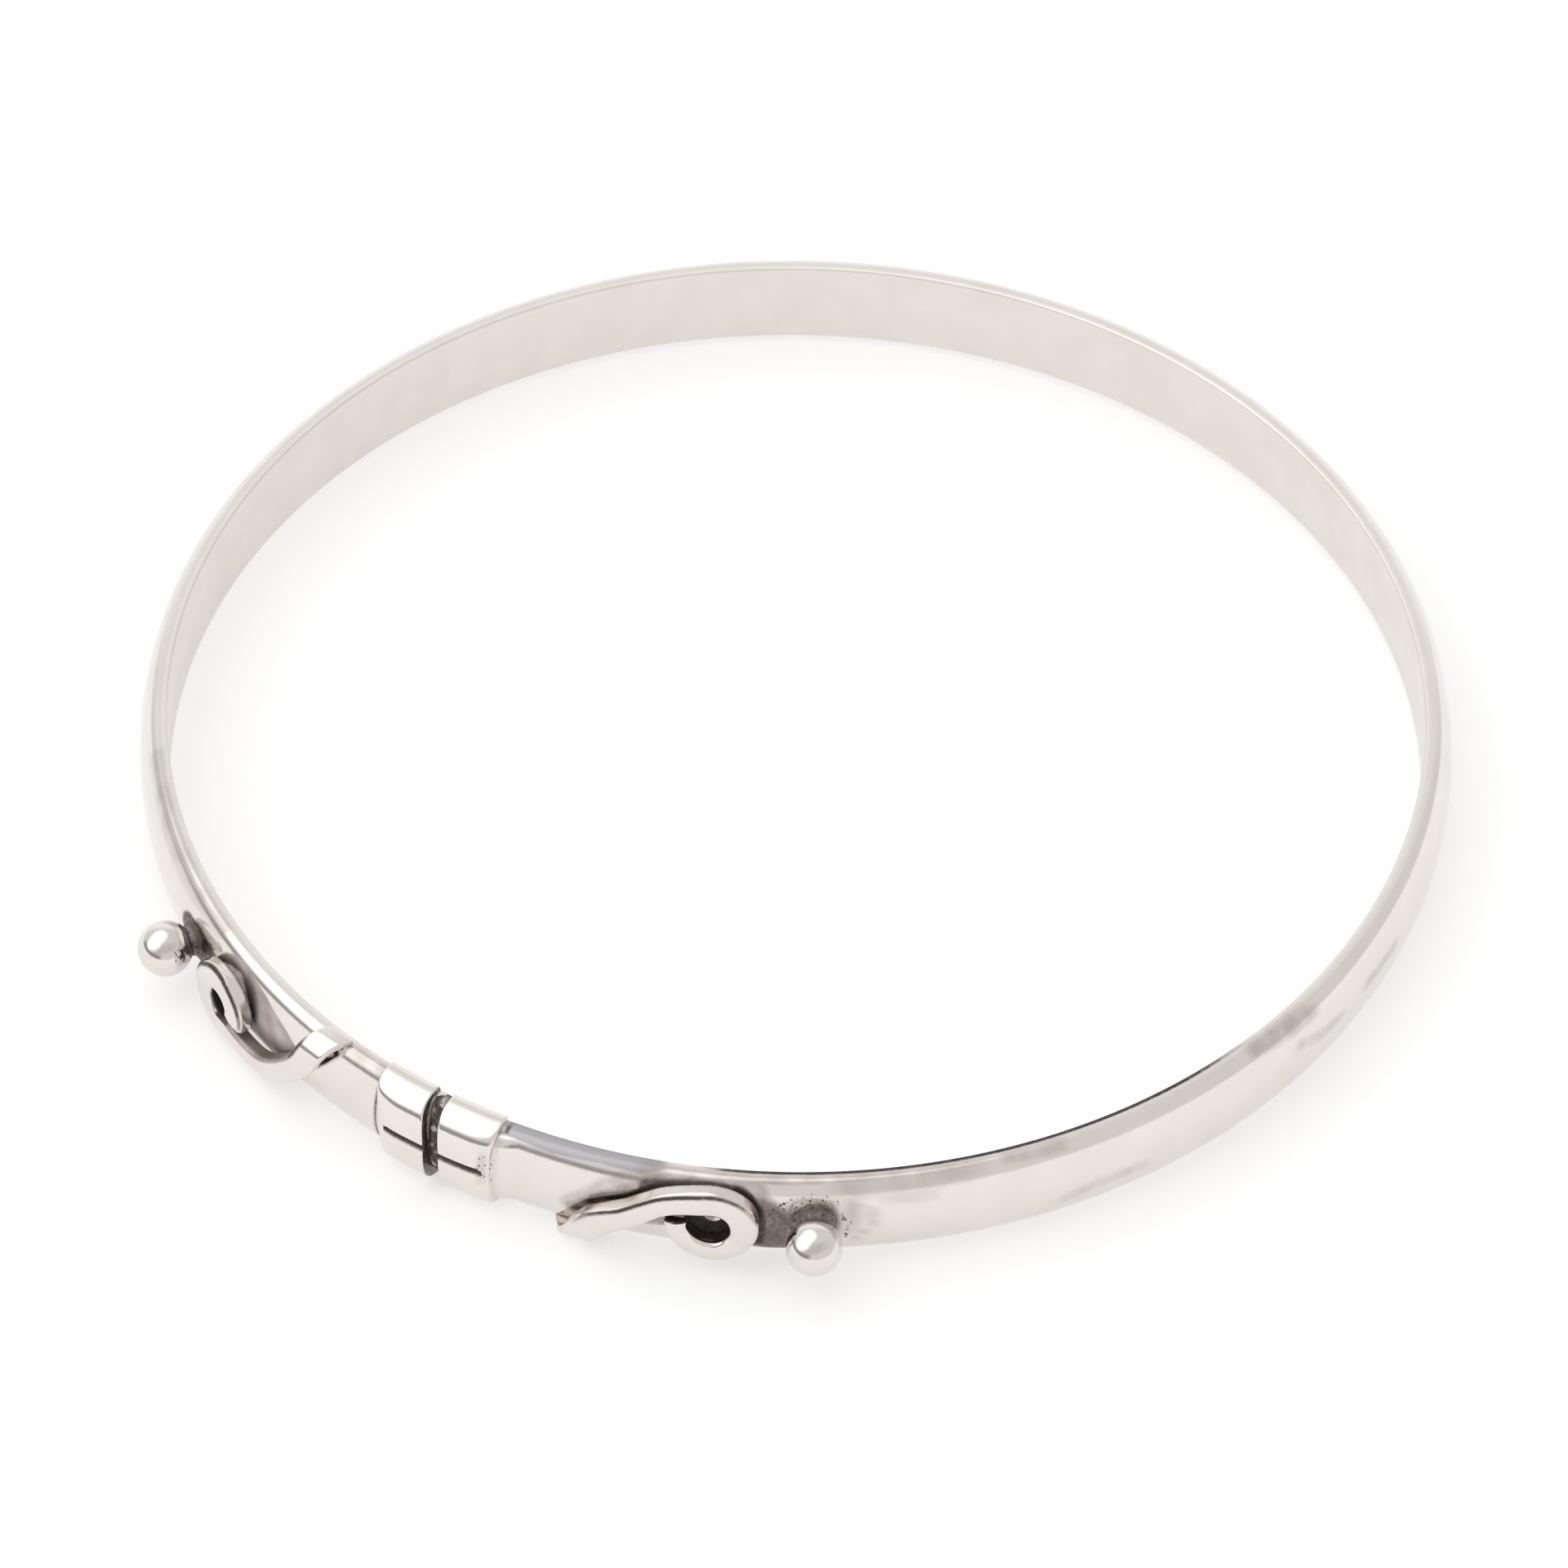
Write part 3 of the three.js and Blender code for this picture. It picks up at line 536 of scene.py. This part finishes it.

# Distances along and heights up the band; the curl's outer radius and its turn in degrees; widths at
# shares of the wire's length; painted dark reflections on the front edges as (middle, half length,
# side); and the share of the length whose upper wall is browned, which (-1, -1) leaves out.
SCROLLS = {
    "right": {
        "foot": 7.1, "lead": [(8.9, -0.95), (11, 0.45), (12.7, 1.65)], "eye": (15.15, 0.55), "reach": 2.4,
        "turn": 290.0, "crescents": [(0.42, 0.26, -1)], "shaded_wall": (-1, -1),
        "widths": ([0, 0.1, 0.2, 0.3, 0.4, 0.52, 0.68, 0.82, 1],
                   [1.4, 1.5, 1.75, 1.5, 1.35, 1.6, 1.55, 1.2, 1.15]),
    },
    "left": {
        "foot": 7.25, "lead": [(8.5, -1), (9.9, 0.6), (11.8, 1.7)], "eye": (15.3, 0.1), "reach": 2.2,
        "turn": 306.0, "crescents": [(0.17, 0.09, 1), (0.86, 0.13, -1)], "shaded_wall": (0.2, 0.56),
        "widths": ([0, 0.24, 0.38, 0.52, 0.68, 0.82, 1], [1.6, 1.45, 1.2, 1.15, 1.5, 1.6, 1.55]),
    },
}


def smooth_path(points, count):
    """Centripetal Catmull-Rom curve through points: each span mixes three straight runs whose knots
    are spaced by the square root of distance. Returned at even steps along its length."""
    p = np.array(points, float)
    p = np.concatenate([[2 * p[0] - p[1]], p, [2 * p[-1] - p[-2]]])
    u = np.linspace(0, 1, 80, endpoint=False)[:, None]
    runs = []
    for a, b, c, d in zip(p[:-3], p[1:-2], p[2:-1], p[3:]):
        k1 = np.linalg.norm(b - a) ** 0.5
        k2 = k1 + np.linalg.norm(c - b) ** 0.5
        k3 = k2 + np.linalg.norm(d - c) ** 0.5
        k = k1 + (k2 - k1) * u
        ab = a * (k1 - k) / k1 + b * k / k1
        bc = b * (k2 - k) / (k2 - k1) + c * (k - k1) / (k2 - k1)
        cd = c * (k3 - k) / (k3 - k2) + d * (k - k2) / (k3 - k2)
        abc = ab * (k2 - k) / k2 + bc * k / k2
        bcd = bc * (k3 - k) / (k3 - k1) + cd * (k - k1) / (k3 - k1)
        runs.append(abc * (k2 - k) / (k2 - k1) + bcd * (k - k1) / (k2 - k1))
    path = np.concatenate(runs + [p[-2:-1]])
    length = np.concatenate([[0], np.cumsum(np.linalg.norm(np.diff(path, axis=0), axis=1))])
    even = np.linspace(0, length[-1], count)
    return np.stack([np.interp(even, length, path[:, n]) for n in range(2)], 1)


def on_lane(distance, height, lift):
    """Wire laid along the ring: upright above the foot's bend, then round a quarter circle over the
    band's edge, then flat and inwards under it. lift is off the wire's middle, outwards."""
    beyond = FOOT_BEND_TOP - height
    bend = np.clip(beyond / FOOT_BEND, 0, np.pi / 2)
    flat = np.maximum(beyond - np.pi / 2 * FOOT_BEND, 0)
    arm = FOOT_BEND + lift
    radius = LANE_RADIUS - FOOT_BEND + arm * np.cos(bend) - flat
    level = np.where(beyond > 0, FOOT_BEND_TOP - arm * np.sin(bend), height)
    return radius, distance / LANE_RADIUS, level


def wire_section(width, thickness):
    """Rounded oblong, once round from the back: square back corners, quarter-round front ones and a
    slightly crowned face, 1 - x^2 high. Returns the offsets across and out from the wire's middle."""
    bevel = np.minimum(0.36 * thickness, 0.3 * width)
    nick = WIRE_NICK
    quarter = np.linspace(0, np.pi / 2, 9)
    corner = np.linspace(0, np.pi / 2, 4)
    half, lift = width / 2, thickness / 2
    back = np.linspace(-1, 1, 7)
    face = np.linspace(1, -1, 17)[1:-1]
    sides = np.linspace(0, 1, 5)[1:-1]
    one = np.ones_like(half)
    across = np.concatenate([
        (half - nick) * back,
        half - nick + nick * np.sin(corner)[1:] * one,
        half * np.ones((1, 3)),
        half - bevel + bevel * np.cos(quarter),
        (half - bevel) * face,
        -(half - bevel) - bevel * np.sin(quarter),
        -half * np.ones((1, 3)),
        -(half - nick + nick * np.cos(corner)[:-1] * one),
    ], 1)
    tall = 2 * lift - nick - bevel
    out = np.concatenate([
        -lift * np.ones((1, 7)),
        -lift + nick * (1 - np.cos(corner))[1:] * one,
        -lift + nick + tall * sides,
        lift - bevel + bevel * np.sin(quarter) * one,
        lift + WIRE_CROWN * thickness * (1 - face**2) * one,
        lift - bevel + bevel * np.cos(quarter) * one,
        -lift + nick + tall * sides[::-1],
        -lift + nick * (1 - np.sin(corner))[:-1] * one,
    ], 1)
    return across, out - WIRE_CROWN * thickness


def scroll_rings(shape, turned):
    """The section carried along the centre line, its width square to the run except near the foot,
    where it turns parallel to the band's edge. Both ends shrink as a quarter circle. Returns the
    rings and their marks: black low inside the eye; black on the back, oxide with painted shade
    where the wire lies on the band; painted dark reflections in thin lines on the front edges; brown
    on the shaded wall; and painted shade on the wire's lower edges and back."""
    count = 260
    core = [(shape["foot"], FOOT_END)] + list(shape["lead"])
    widths = shape["widths"]
    for turn in np.linspace(0, 1, 15):
        a = math.radians(EYE_START - turn * shape["turn"])
        r = shape["reach"] - np.interp(0.5 + 0.5 * turn, *widths) / 2
        core.append((shape["eye"][0] + r * math.cos(a), shape["eye"][1] + r * math.sin(a)))
    path = smooth_path(core, count)
    run = np.gradient(path, axis=0)
    run /= np.linalg.norm(run, axis=1, keepdims=True)
    share = np.linspace(0, 1, count)[:, None]
    square = np.stack([run[:, 1], -run[:, 0]], 1)
    splay = np.clip(1 - share / 0.18, 0, 1)
    across = square * (1 - splay) + np.array([[1.0, 0.0]]) * splay
    across /= (across * square).sum(1, keepdims=True)
    width = np.interp(share, *widths)
    thick = np.interp(share, [0, 0.16, 0.3], [SCROLL_TIP - 0.05, 0.5, SCROLL_THICKNESS])
    length = np.linalg.norm(path[1] - path[0]) * (count - 1)
    to_end, to_foot = (1 - share) * length, share * length
    shrink = np.minimum(0.7 + 0.3 * quarter_round(to_end / FREE_END_ROUND),
                        0.6 + 0.4 * quarter_round(to_foot / FOOT_END_ROUND))
    u, out = wire_section(width * (0.75 + 0.25 * shrink), thick)
    out = out * shrink - 0.5 * thick * (1 - shrink) * (to_foot > 1)
    distance = path[:, :1] + across[:, :1] * u
    height = path[:, 1:] + across[:, 1:] * u
    radius, angle, level = on_lane(distance, height, out)
    if turned:
        angle, level = -angle, -level
    rings = on_ring(radius, angle, level)
    worn = 0.012 * (np.minimum(smooth_noise(rings, 0.0026, 31 + turned), 1.2) - 1.2)
    front = step_up(out / thick, 0.0, 0.5)
    rings = on_ring(radius + worn * front, angle, level)
    in_eye = step_up(share, 0.3, 0.36) * step_up(u / width, 0.15, 0.5)
    low = 1 - step_up(out / thick, 0.0, 0.44)
    inner = np.clip(in_eye * low * 1.3, 0, 1) * (1 - 0.7 * step_up(share, 0.72, 0.8))
    arch = step_up(share, 0.42, 0.46) * (1 - step_up(share, 0.6, 0.64)) * step_up(u / width, 0.34, 0.42)
    inner = np.maximum(inner, 0.95 * arch * (1 - step_up(out / thick, 0.42, 0.5)))
    # Black on the wire's back: oxide with painted shade where it lies on the band.
    base = 0.45 * (1 - step_up(out / thick, -0.5, -0.36)) * step_up(share, 0.2, 0.3)
    soot_and_shade = np.maximum(inner, base)
    # Painted dark reflections: thin black lines along the front bevel.
    for middle, half, way in shape["crescents"]:
        strength = 0.8 * np.sqrt(np.clip(1 - ((share - middle) / half) ** 2, 0, 1))
        on_bevel = np.exp(-(((way * u / width - 0.42) / 0.075) ** 2)) * step_up(out / thick, 0.2, 0.34)
        soot_and_shade = np.maximum(soot_and_shade, strength * on_bevel)
    start, stop = shape["shaded_wall"]
    wall = step_up(share, start - 0.03, start + 0.03) * (1 - step_up(share, stop - 0.03, stop + 0.03))
    wall = wall * step_up(u / width, 0.30, 0.38) * (1 - step_up(out / thick, 0.38, 0.47))
    soot_and_shade = soot_and_shade * (1 - wall) + 0.12 * wall
    # Painted shade: brown on the wire's lower edges, and a little on its back.
    middle = level.mean(1, keepdims=True)
    low_edge_shade = step_up((middle - level) / (0.5 * width), 0.6, 1.0) * step_up(share, 0.14, 0.2)
    stain_and_shade = np.maximum.reduce([0.12 * (1 - front), 0.9 * wall, 0.5 * low_edge_shade])
    return rings, {"soot_and_shade": soot_and_shade, "stain_and_shade": stain_and_shade, "satin": 0.8 * wall}


scroll_silver = silver("scroll_silver", SILVER, 0.1, wave=0.05)
for side, shape in SCROLLS.items():
    rings, marks = scroll_rings(shape, side == "left")
    piece = tube_mesh("scroll_" + side + "_wire", rings, marks)
    finish(piece, scroll_silver, "scroll_" + side)


# ---------------------------------------------------------------------------------------------
# The solder under the eyes: a lump of hard solder that fills the wedge between the wire's flat
# back and the domed band. It shows black at the bottom of the eye, and as a rough edge around it.
# ---------------------------------------------------------------------------------------------
PAD_REACH = [0.05, 0.3, 0.6, 0.9, 1.1, 1.3, 1.5, 1.6, 1.66, 1.7, 1.74, 1.6, 1.2, 0.7, 0.1]
PAD_LIFT = [0.05, 0.06, 0.12, 0.25, 0.5, 0.8, 0.97, 0.97, 0.85, 0.5, 0, 0, 0, 0, 0]
PAD_TOP = CROWN_RADIUS + EYE_LIFT - 0.03
PAD_HIGHEST = 2.35                 # up or down the band
HARD_SOLDER = (0.5, 0.47, 0.45)


def dome_radius(height):
    """Radius of the band's outside: the half round at the angle whose sine is height over half width."""
    return half_round(np.arcsin(np.clip(height / BAND_HALF_WIDTH, -1, 1)))


def pad_rings(eye, turned):
    """Rings round the eye's middle: in across a dished top just behind the wire, out and down over a
    lumpy rim, and back in along the dome. Its edge is broken by three sine waves round the eye."""
    spin = np.linspace(0, 2 * np.pi, 72, endpoint=False)[None, :]
    reach, lift = np.array(PAD_REACH)[:, None], np.array(PAD_LIFT)[:, None]
    ragged = 0.07 * np.sin(3 * spin + 1) + 0.05 * np.sin(7 * spin + 2) + 0.03 * np.sin(13 * spin)
    reach = reach * (1 + ragged * step_up(reach, 1.2, 1.7) * 0.5)
    distance = eye[0] + reach * np.cos(spin)
    height = np.clip(eye[1] + reach * np.sin(spin), -PAD_HIGHEST, PAD_HIGHEST)
    floor = dome_radius(height) - 0.02
    radius = floor + (PAD_TOP - floor) * lift
    angle = distance / LANE_RADIUS
    if turned:
        angle, height = -angle, -height
    return on_ring(radius, angle, height), reach


pad_solder = silver("pad_solder_metal", HARD_SOLDER, 0.35, grain=0.08, wave=0.4, pits=0.00006)
for side, shape in SCROLLS.items():
    rings, reach = pad_rings(shape["eye"], side == "left")
    rim = step_up(reach, 1.42, 1.58)
    cleaned = 0.8 if side == "left" else 0.35
    piece = tube_mesh("scroll_pad_" + side + "_solder", rings, {
        "soot_and_shade": 0.95 - cleaned * rim, "stain_and_shade": 0.3 + 0.6 * rim, "satin": 0.7, "pits": 1.0 - rim})
    finish(piece, pad_solder, "scroll_pad_" + side)


# ---------------------------------------------------------------------------------------------
# The balls: shot of silver melted round and mirror-bright, with a slanted grey patch of painted
# reflection on the upper front and painted shade underneath, browned and pitted at the back where
# each is soldered to its neck.
# ---------------------------------------------------------------------------------------------
BALL_RADIUS = 1.45
BALL_GAP = 0.1
BALL_CENTRE = CROWN_RADIUS + BALL_GAP + BALL_RADIUS
BALLS = {"right": (20.25, 0.15), "left": (-19.75, -0.1)}      # distance along, height up the band
PATCH_WAY = (0.35, -0.6, 0.66)
PATCH_SLANT = math.radians(22)
PATCH_LONG, PATCH_SHORT = 0.5, 0.17      # half sizes, in ball radii


def ball_rings(reach, rise, seed):
    """A sphere in rings about its own outward axis, back to front, drawn in a little where noise says.
    Returns the rings and each point's way from the middle: along the band, out and up."""
    polar = np.linspace(0.02, np.pi - 0.02, 48)[:, None]
    spin = np.linspace(0, 2 * np.pi, 96, endpoint=False)[None, :]
    ways = np.stack([np.sin(polar) * np.cos(spin), -np.cos(polar) * np.ones_like(spin),
                     np.sin(polar) * np.sin(spin)], -1)
    size = BALL_RADIUS * (1 + 0.006 * (np.minimum(smooth_noise(ways, 2.2, seed), 1.2) - 1.2))
    along_band, out, up = ways[..., 0] * size, ways[..., 1] * size, ways[..., 2] * size
    turn = reach / LANE_RADIUS
    centre = on_ring(BALL_CENTRE, turn, rise)
    side_way = np.array([math.cos(turn), math.sin(turn), 0])
    out_way = np.array([math.sin(turn), -math.cos(turn), 0])
    rings = centre + 0.001 * (along_band[..., None] * side_way + out[..., None] * out_way
                              + up[..., None] * np.array([0, 0, 1.0]))
    return rings, ways


def reflection_patch(rings):
    """A slanted oval of painted reflection on the ball's upper front, facing the camera: a bell curve in
    two directions across the ball from the middle of the patch, long one way and short the other."""
    ways = rings - rings.mean((0, 1))
    ways = ways / np.linalg.norm(ways, axis=-1, keepdims=True)
    front = np.array(PATCH_WAY) / np.linalg.norm(PATCH_WAY)
    side = np.cross((0, 0, 1), front)
    side /= np.linalg.norm(side)
    over = np.cross(front, side)
    a = ways @ (math.cos(PATCH_SLANT) * side + math.sin(PATCH_SLANT) * over)
    b = ways @ (math.cos(PATCH_SLANT) * over - math.sin(PATCH_SLANT) * side)
    shape = np.exp(-((a / PATCH_LONG) ** 4) - (b / PATCH_SHORT) ** 4)
    return 0.6 * shape * (ways @ front > 0)


ball_silver = silver("ball_silver", tuple(c * 0.97 for c in SILVER), 0.07, wave=0.04, pits=0.00004)
for number, (side, (reach, rise)) in enumerate(BALLS.items()):
    rings, ways = ball_rings(reach, rise, 50 + number)
    out, up = ways[..., 1], ways[..., 2]
    brown_back = 0.35 * (1 - step_up(out, -0.7, 0.0))
    # Painted shade: browner underneath.
    under = 0.3 * (1 - step_up(up, -0.95, -0.35))
    piece = tube_mesh("ball_" + side + "_shot", rings, {
        "soot_and_shade": 0.6 * (1 - step_up(out, -0.92, -0.55)),
        # brown at the back, painted shade underneath, and a painted reflection patch on the upper front
        "stain_and_shade": np.maximum.reduce([brown_back, under, reflection_patch(rings)]), "satin": 0.0,
        "pits": 0.8 * (1 - step_up(out, -0.75, -0.35))})
    finish(piece, ball_silver, "ball_" + side)


# ---------------------------------------------------------------------------------------------
# The necks: hard solder between each ball and the dome, short and dark, which has run out unevenly
# over the band and pitted.
# ---------------------------------------------------------------------------------------------
NECK_TALL = [0.5, 0.42, 0.3, 0.2, 0.12, 0.06, 0.03, 0, -0.05, -0.05]
NECK_WIDE = [0.15, 0.78, 0.8, 0.83, 0.9, 1.02, 1.12, 1.22, 1.2, 0.1]


def neck_rings(reach, rise, seed):
    """Solder round the ball's foot: rings about its axis that flare like a trumpet on to the dome,
    their width broken by three sine waves round the axis."""
    spin = np.linspace(0, 2 * np.pi, 72, endpoint=False)[None, :]
    tall, wide = np.array(NECK_TALL)[:, None], np.array(NECK_WIDE)[:, None]
    ragged = 0.05 * (np.sin(3 * spin + seed) + np.sin(5 * spin + 2 * seed)) + 0.03 * np.sin(11 * spin)
    wide = wide * (1 + ragged * step_up(wide, 0.5, 1.0))
    distance, height = reach + wide * np.cos(spin), rise + wide * np.sin(spin)
    return on_ring(dome_radius(height) + tall, distance / LANE_RADIUS, height)


neck_solder = silver("neck_solder_metal", HARD_SOLDER, 0.32, grain=0.08, wave=0.3, pits=0.00006)
for number, (side, (reach, rise)) in enumerate(BALLS.items()):
    piece = tube_mesh("ball_neck_" + side + "_solder", neck_rings(reach, rise, 3 + 2 * number), {
        "soot_and_shade": 0.4, "stain_and_shade": 0.6, "satin": 0.5, "pits": 1.0})
    finish(piece, neck_solder, "ball_neck_" + side)


# ---------------------------------------------------------------------------------------------
# The table: a plain pale sheet under the bangle, lit through as well as from above, so that it
# stays white and the bangle's shadow on it is faint.
# ---------------------------------------------------------------------------------------------
TABLE_HALF = 6.0
TABLE_TOP = -0.00002
TABLE_GREY = 0.52
TABLE_GLOW = 0.53

floor_mesh = bpy.data.meshes.new("table")
floor_mesh.from_pydata([(-TABLE_HALF, -TABLE_HALF, TABLE_TOP), (TABLE_HALF, -TABLE_HALF, TABLE_TOP),
                        (TABLE_HALF, TABLE_HALF, TABLE_TOP), (-TABLE_HALF, TABLE_HALF, TABLE_TOP)],
                       [], [(0, 1, 2, 3)])
floor = bpy.data.objects.new("table", floor_mesh)
bpy.context.scene.collection.objects.link(floor)
paper = bpy.data.materials.new("paper")
paper.use_nodes = True
sheet = paper.node_tree.nodes["Principled BSDF"].inputs
sheet["Base Color"].default_value = (TABLE_GREY, TABLE_GREY, TABLE_GREY, 1)
sheet["Emission Color"].default_value = (1, 1, 1, 1)
sheet["Emission Strength"].default_value = TABLE_GLOW
sheet["Roughness"].default_value = 0.9
sheet["Specular IOR Level"].default_value = 0.1
floor_mesh.materials.append(paper)


# ---------------------------------------------------------------------------------------------
# The studio: a pale tent lit from all round, brighter low down at the back, with two bright panels
# high up at the left and a dim strip low down at the left, all of which the polished silver mirrors.
# ---------------------------------------------------------------------------------------------
CAMERA_TURN = math.radians(31.5)      # the camera stands to the right of the seam
CAMERA_RISE = math.radians(45.922)
CAMERA_DISTANCE = 0.635173
CAMERA_LENS = 281.22
CAMERA_YAW = math.radians(0.0532)
CAMERA_PITCH = math.radians(-0.2183)
CAMERA_ROLL = math.radians(-0.78)
TENT = (0.80, 0.79, 0.785)
LOW_BACK = (1.1, 1.1, 1.1)
LOW_LEFT = (0.36, 0.35, 0.345)
LEFT_PANEL = (1.55, 1.55, 1.55)
HIGH_PANEL = (1.45, 1.45, 1.45)
SEEN = (1.0, 1.0, 1.0)                # what the camera itself sees past the table

world = bpy.data.worlds.new("tent")
bpy.context.scene.world = world
world.use_nodes = True
tent = world.node_tree
for old in list(tent.nodes):
    tent.nodes.remove(old)
way = tent.nodes.new("ShaderNodeTexCoord").outputs["Generated"]
camera_way = Vector((math.cos(CAMERA_RISE) * math.sin(CAMERA_TURN),
                     -math.cos(CAMERA_RISE) * math.cos(CAMERA_TURN), math.sin(CAMERA_RISE)))


def facing(direction, low, high):
    """Share from 0 to 1, smoothly, as the cosine between the way looked and a direction goes from low
    to high."""
    dot = tent.nodes.new("ShaderNodeVectorMath")
    dot.operation = "DOT_PRODUCT"
    tent.links.new(way, dot.inputs[0])
    dot.inputs[1].default_value = direction
    ramp = tent.nodes.new("ShaderNodeMapRange")
    ramp.interpolation_type = "SMOOTHSTEP"
    ramp.inputs["From Min"].default_value = low
    ramp.inputs["From Max"].default_value = high
    tent.links.new(dot.outputs["Value"], ramp.inputs["Value"])
    return ramp.outputs["Result"]


def tint(share, under, over):
    """Mixes a colour over what lies under it by a share."""
    mix = tent.nodes.new("ShaderNodeMix")
    mix.data_type = "RGBA"
    tent.links.new(share, mix.inputs["Factor"])
    for slot, value in ((6, under), (7, over)):
        if isinstance(value, tuple):
            mix.inputs[slot].default_value = (*value, 1)
        else:
            tent.links.new(value, mix.inputs[slot])
    return mix.outputs[2]


def toward(turn, rise):
    """Unit direction turned from the camera's side, clockwise from above, and raised; degrees."""
    turn, rise = CAMERA_TURN + math.radians(turn), math.radians(rise)
    return (math.cos(rise) * math.sin(turn), -math.cos(rise) * math.cos(turn), math.sin(rise))


def both(a, b):
    """Product of two shares."""
    product = tent.nodes.new("ShaderNodeMath")
    product.operation = "MULTIPLY"
    tent.links.new(a, product.inputs[0])
    tent.links.new(b, product.inputs[1])
    return product.outputs[0]


light = tint(facing(toward(180, 5), 0.64, 0.94), TENT, LOW_BACK)
low_left = both(facing(toward(-62, 6), 0.57, 0.82), facing((0, 0, -1), -0.36, -0.14))
light = tint(low_left, light, LOW_LEFT)
light = tint(facing(toward(-75, 44), 0.80, 0.93), light, LEFT_PANEL)
light = tint(facing(toward(-110, 66), 0.80, 0.93), light, HIGH_PANEL)
ray = tent.nodes.new("ShaderNodeLightPath")
light = tint(ray.outputs["Is Camera Ray"], light, SEEN)
glow = tent.nodes.new("ShaderNodeBackground")
tent.links.new(light, glow.inputs["Color"])
tent.links.new(glow.outputs[0], tent.nodes.new("ShaderNodeOutputWorld").inputs["Surface"])

camera_data = bpy.data.cameras.new("camera")
camera_data.lens = CAMERA_LENS
camera_data.sensor_width = 36
camera_data.clip_start = 0.01
camera = bpy.data.objects.new("camera", camera_data)
bpy.context.scene.collection.objects.link(camera)
bpy.context.scene.camera = camera
forward = -camera_way
right = Vector((math.cos(CAMERA_TURN), math.sin(CAMERA_TURN), 0))
up = right.cross(forward)
yaw = Matrix.Rotation(CAMERA_YAW, 3, up)
forward, right = yaw @ forward, yaw @ right
pitch = Matrix.Rotation(CAMERA_PITCH, 3, right)
forward, up = pitch @ forward, pitch @ up
roll = Matrix.Rotation(CAMERA_ROLL, 3, forward)
right, up = roll @ right, roll @ up
place = Vector(ring_centre) + camera_way * CAMERA_DISTANCE
camera.matrix_world = Matrix.Translation(place) @ Matrix((right, up, -forward)).transposed().to_4x4()
bpy.context.scene.view_settings.view_transform = "Standard"
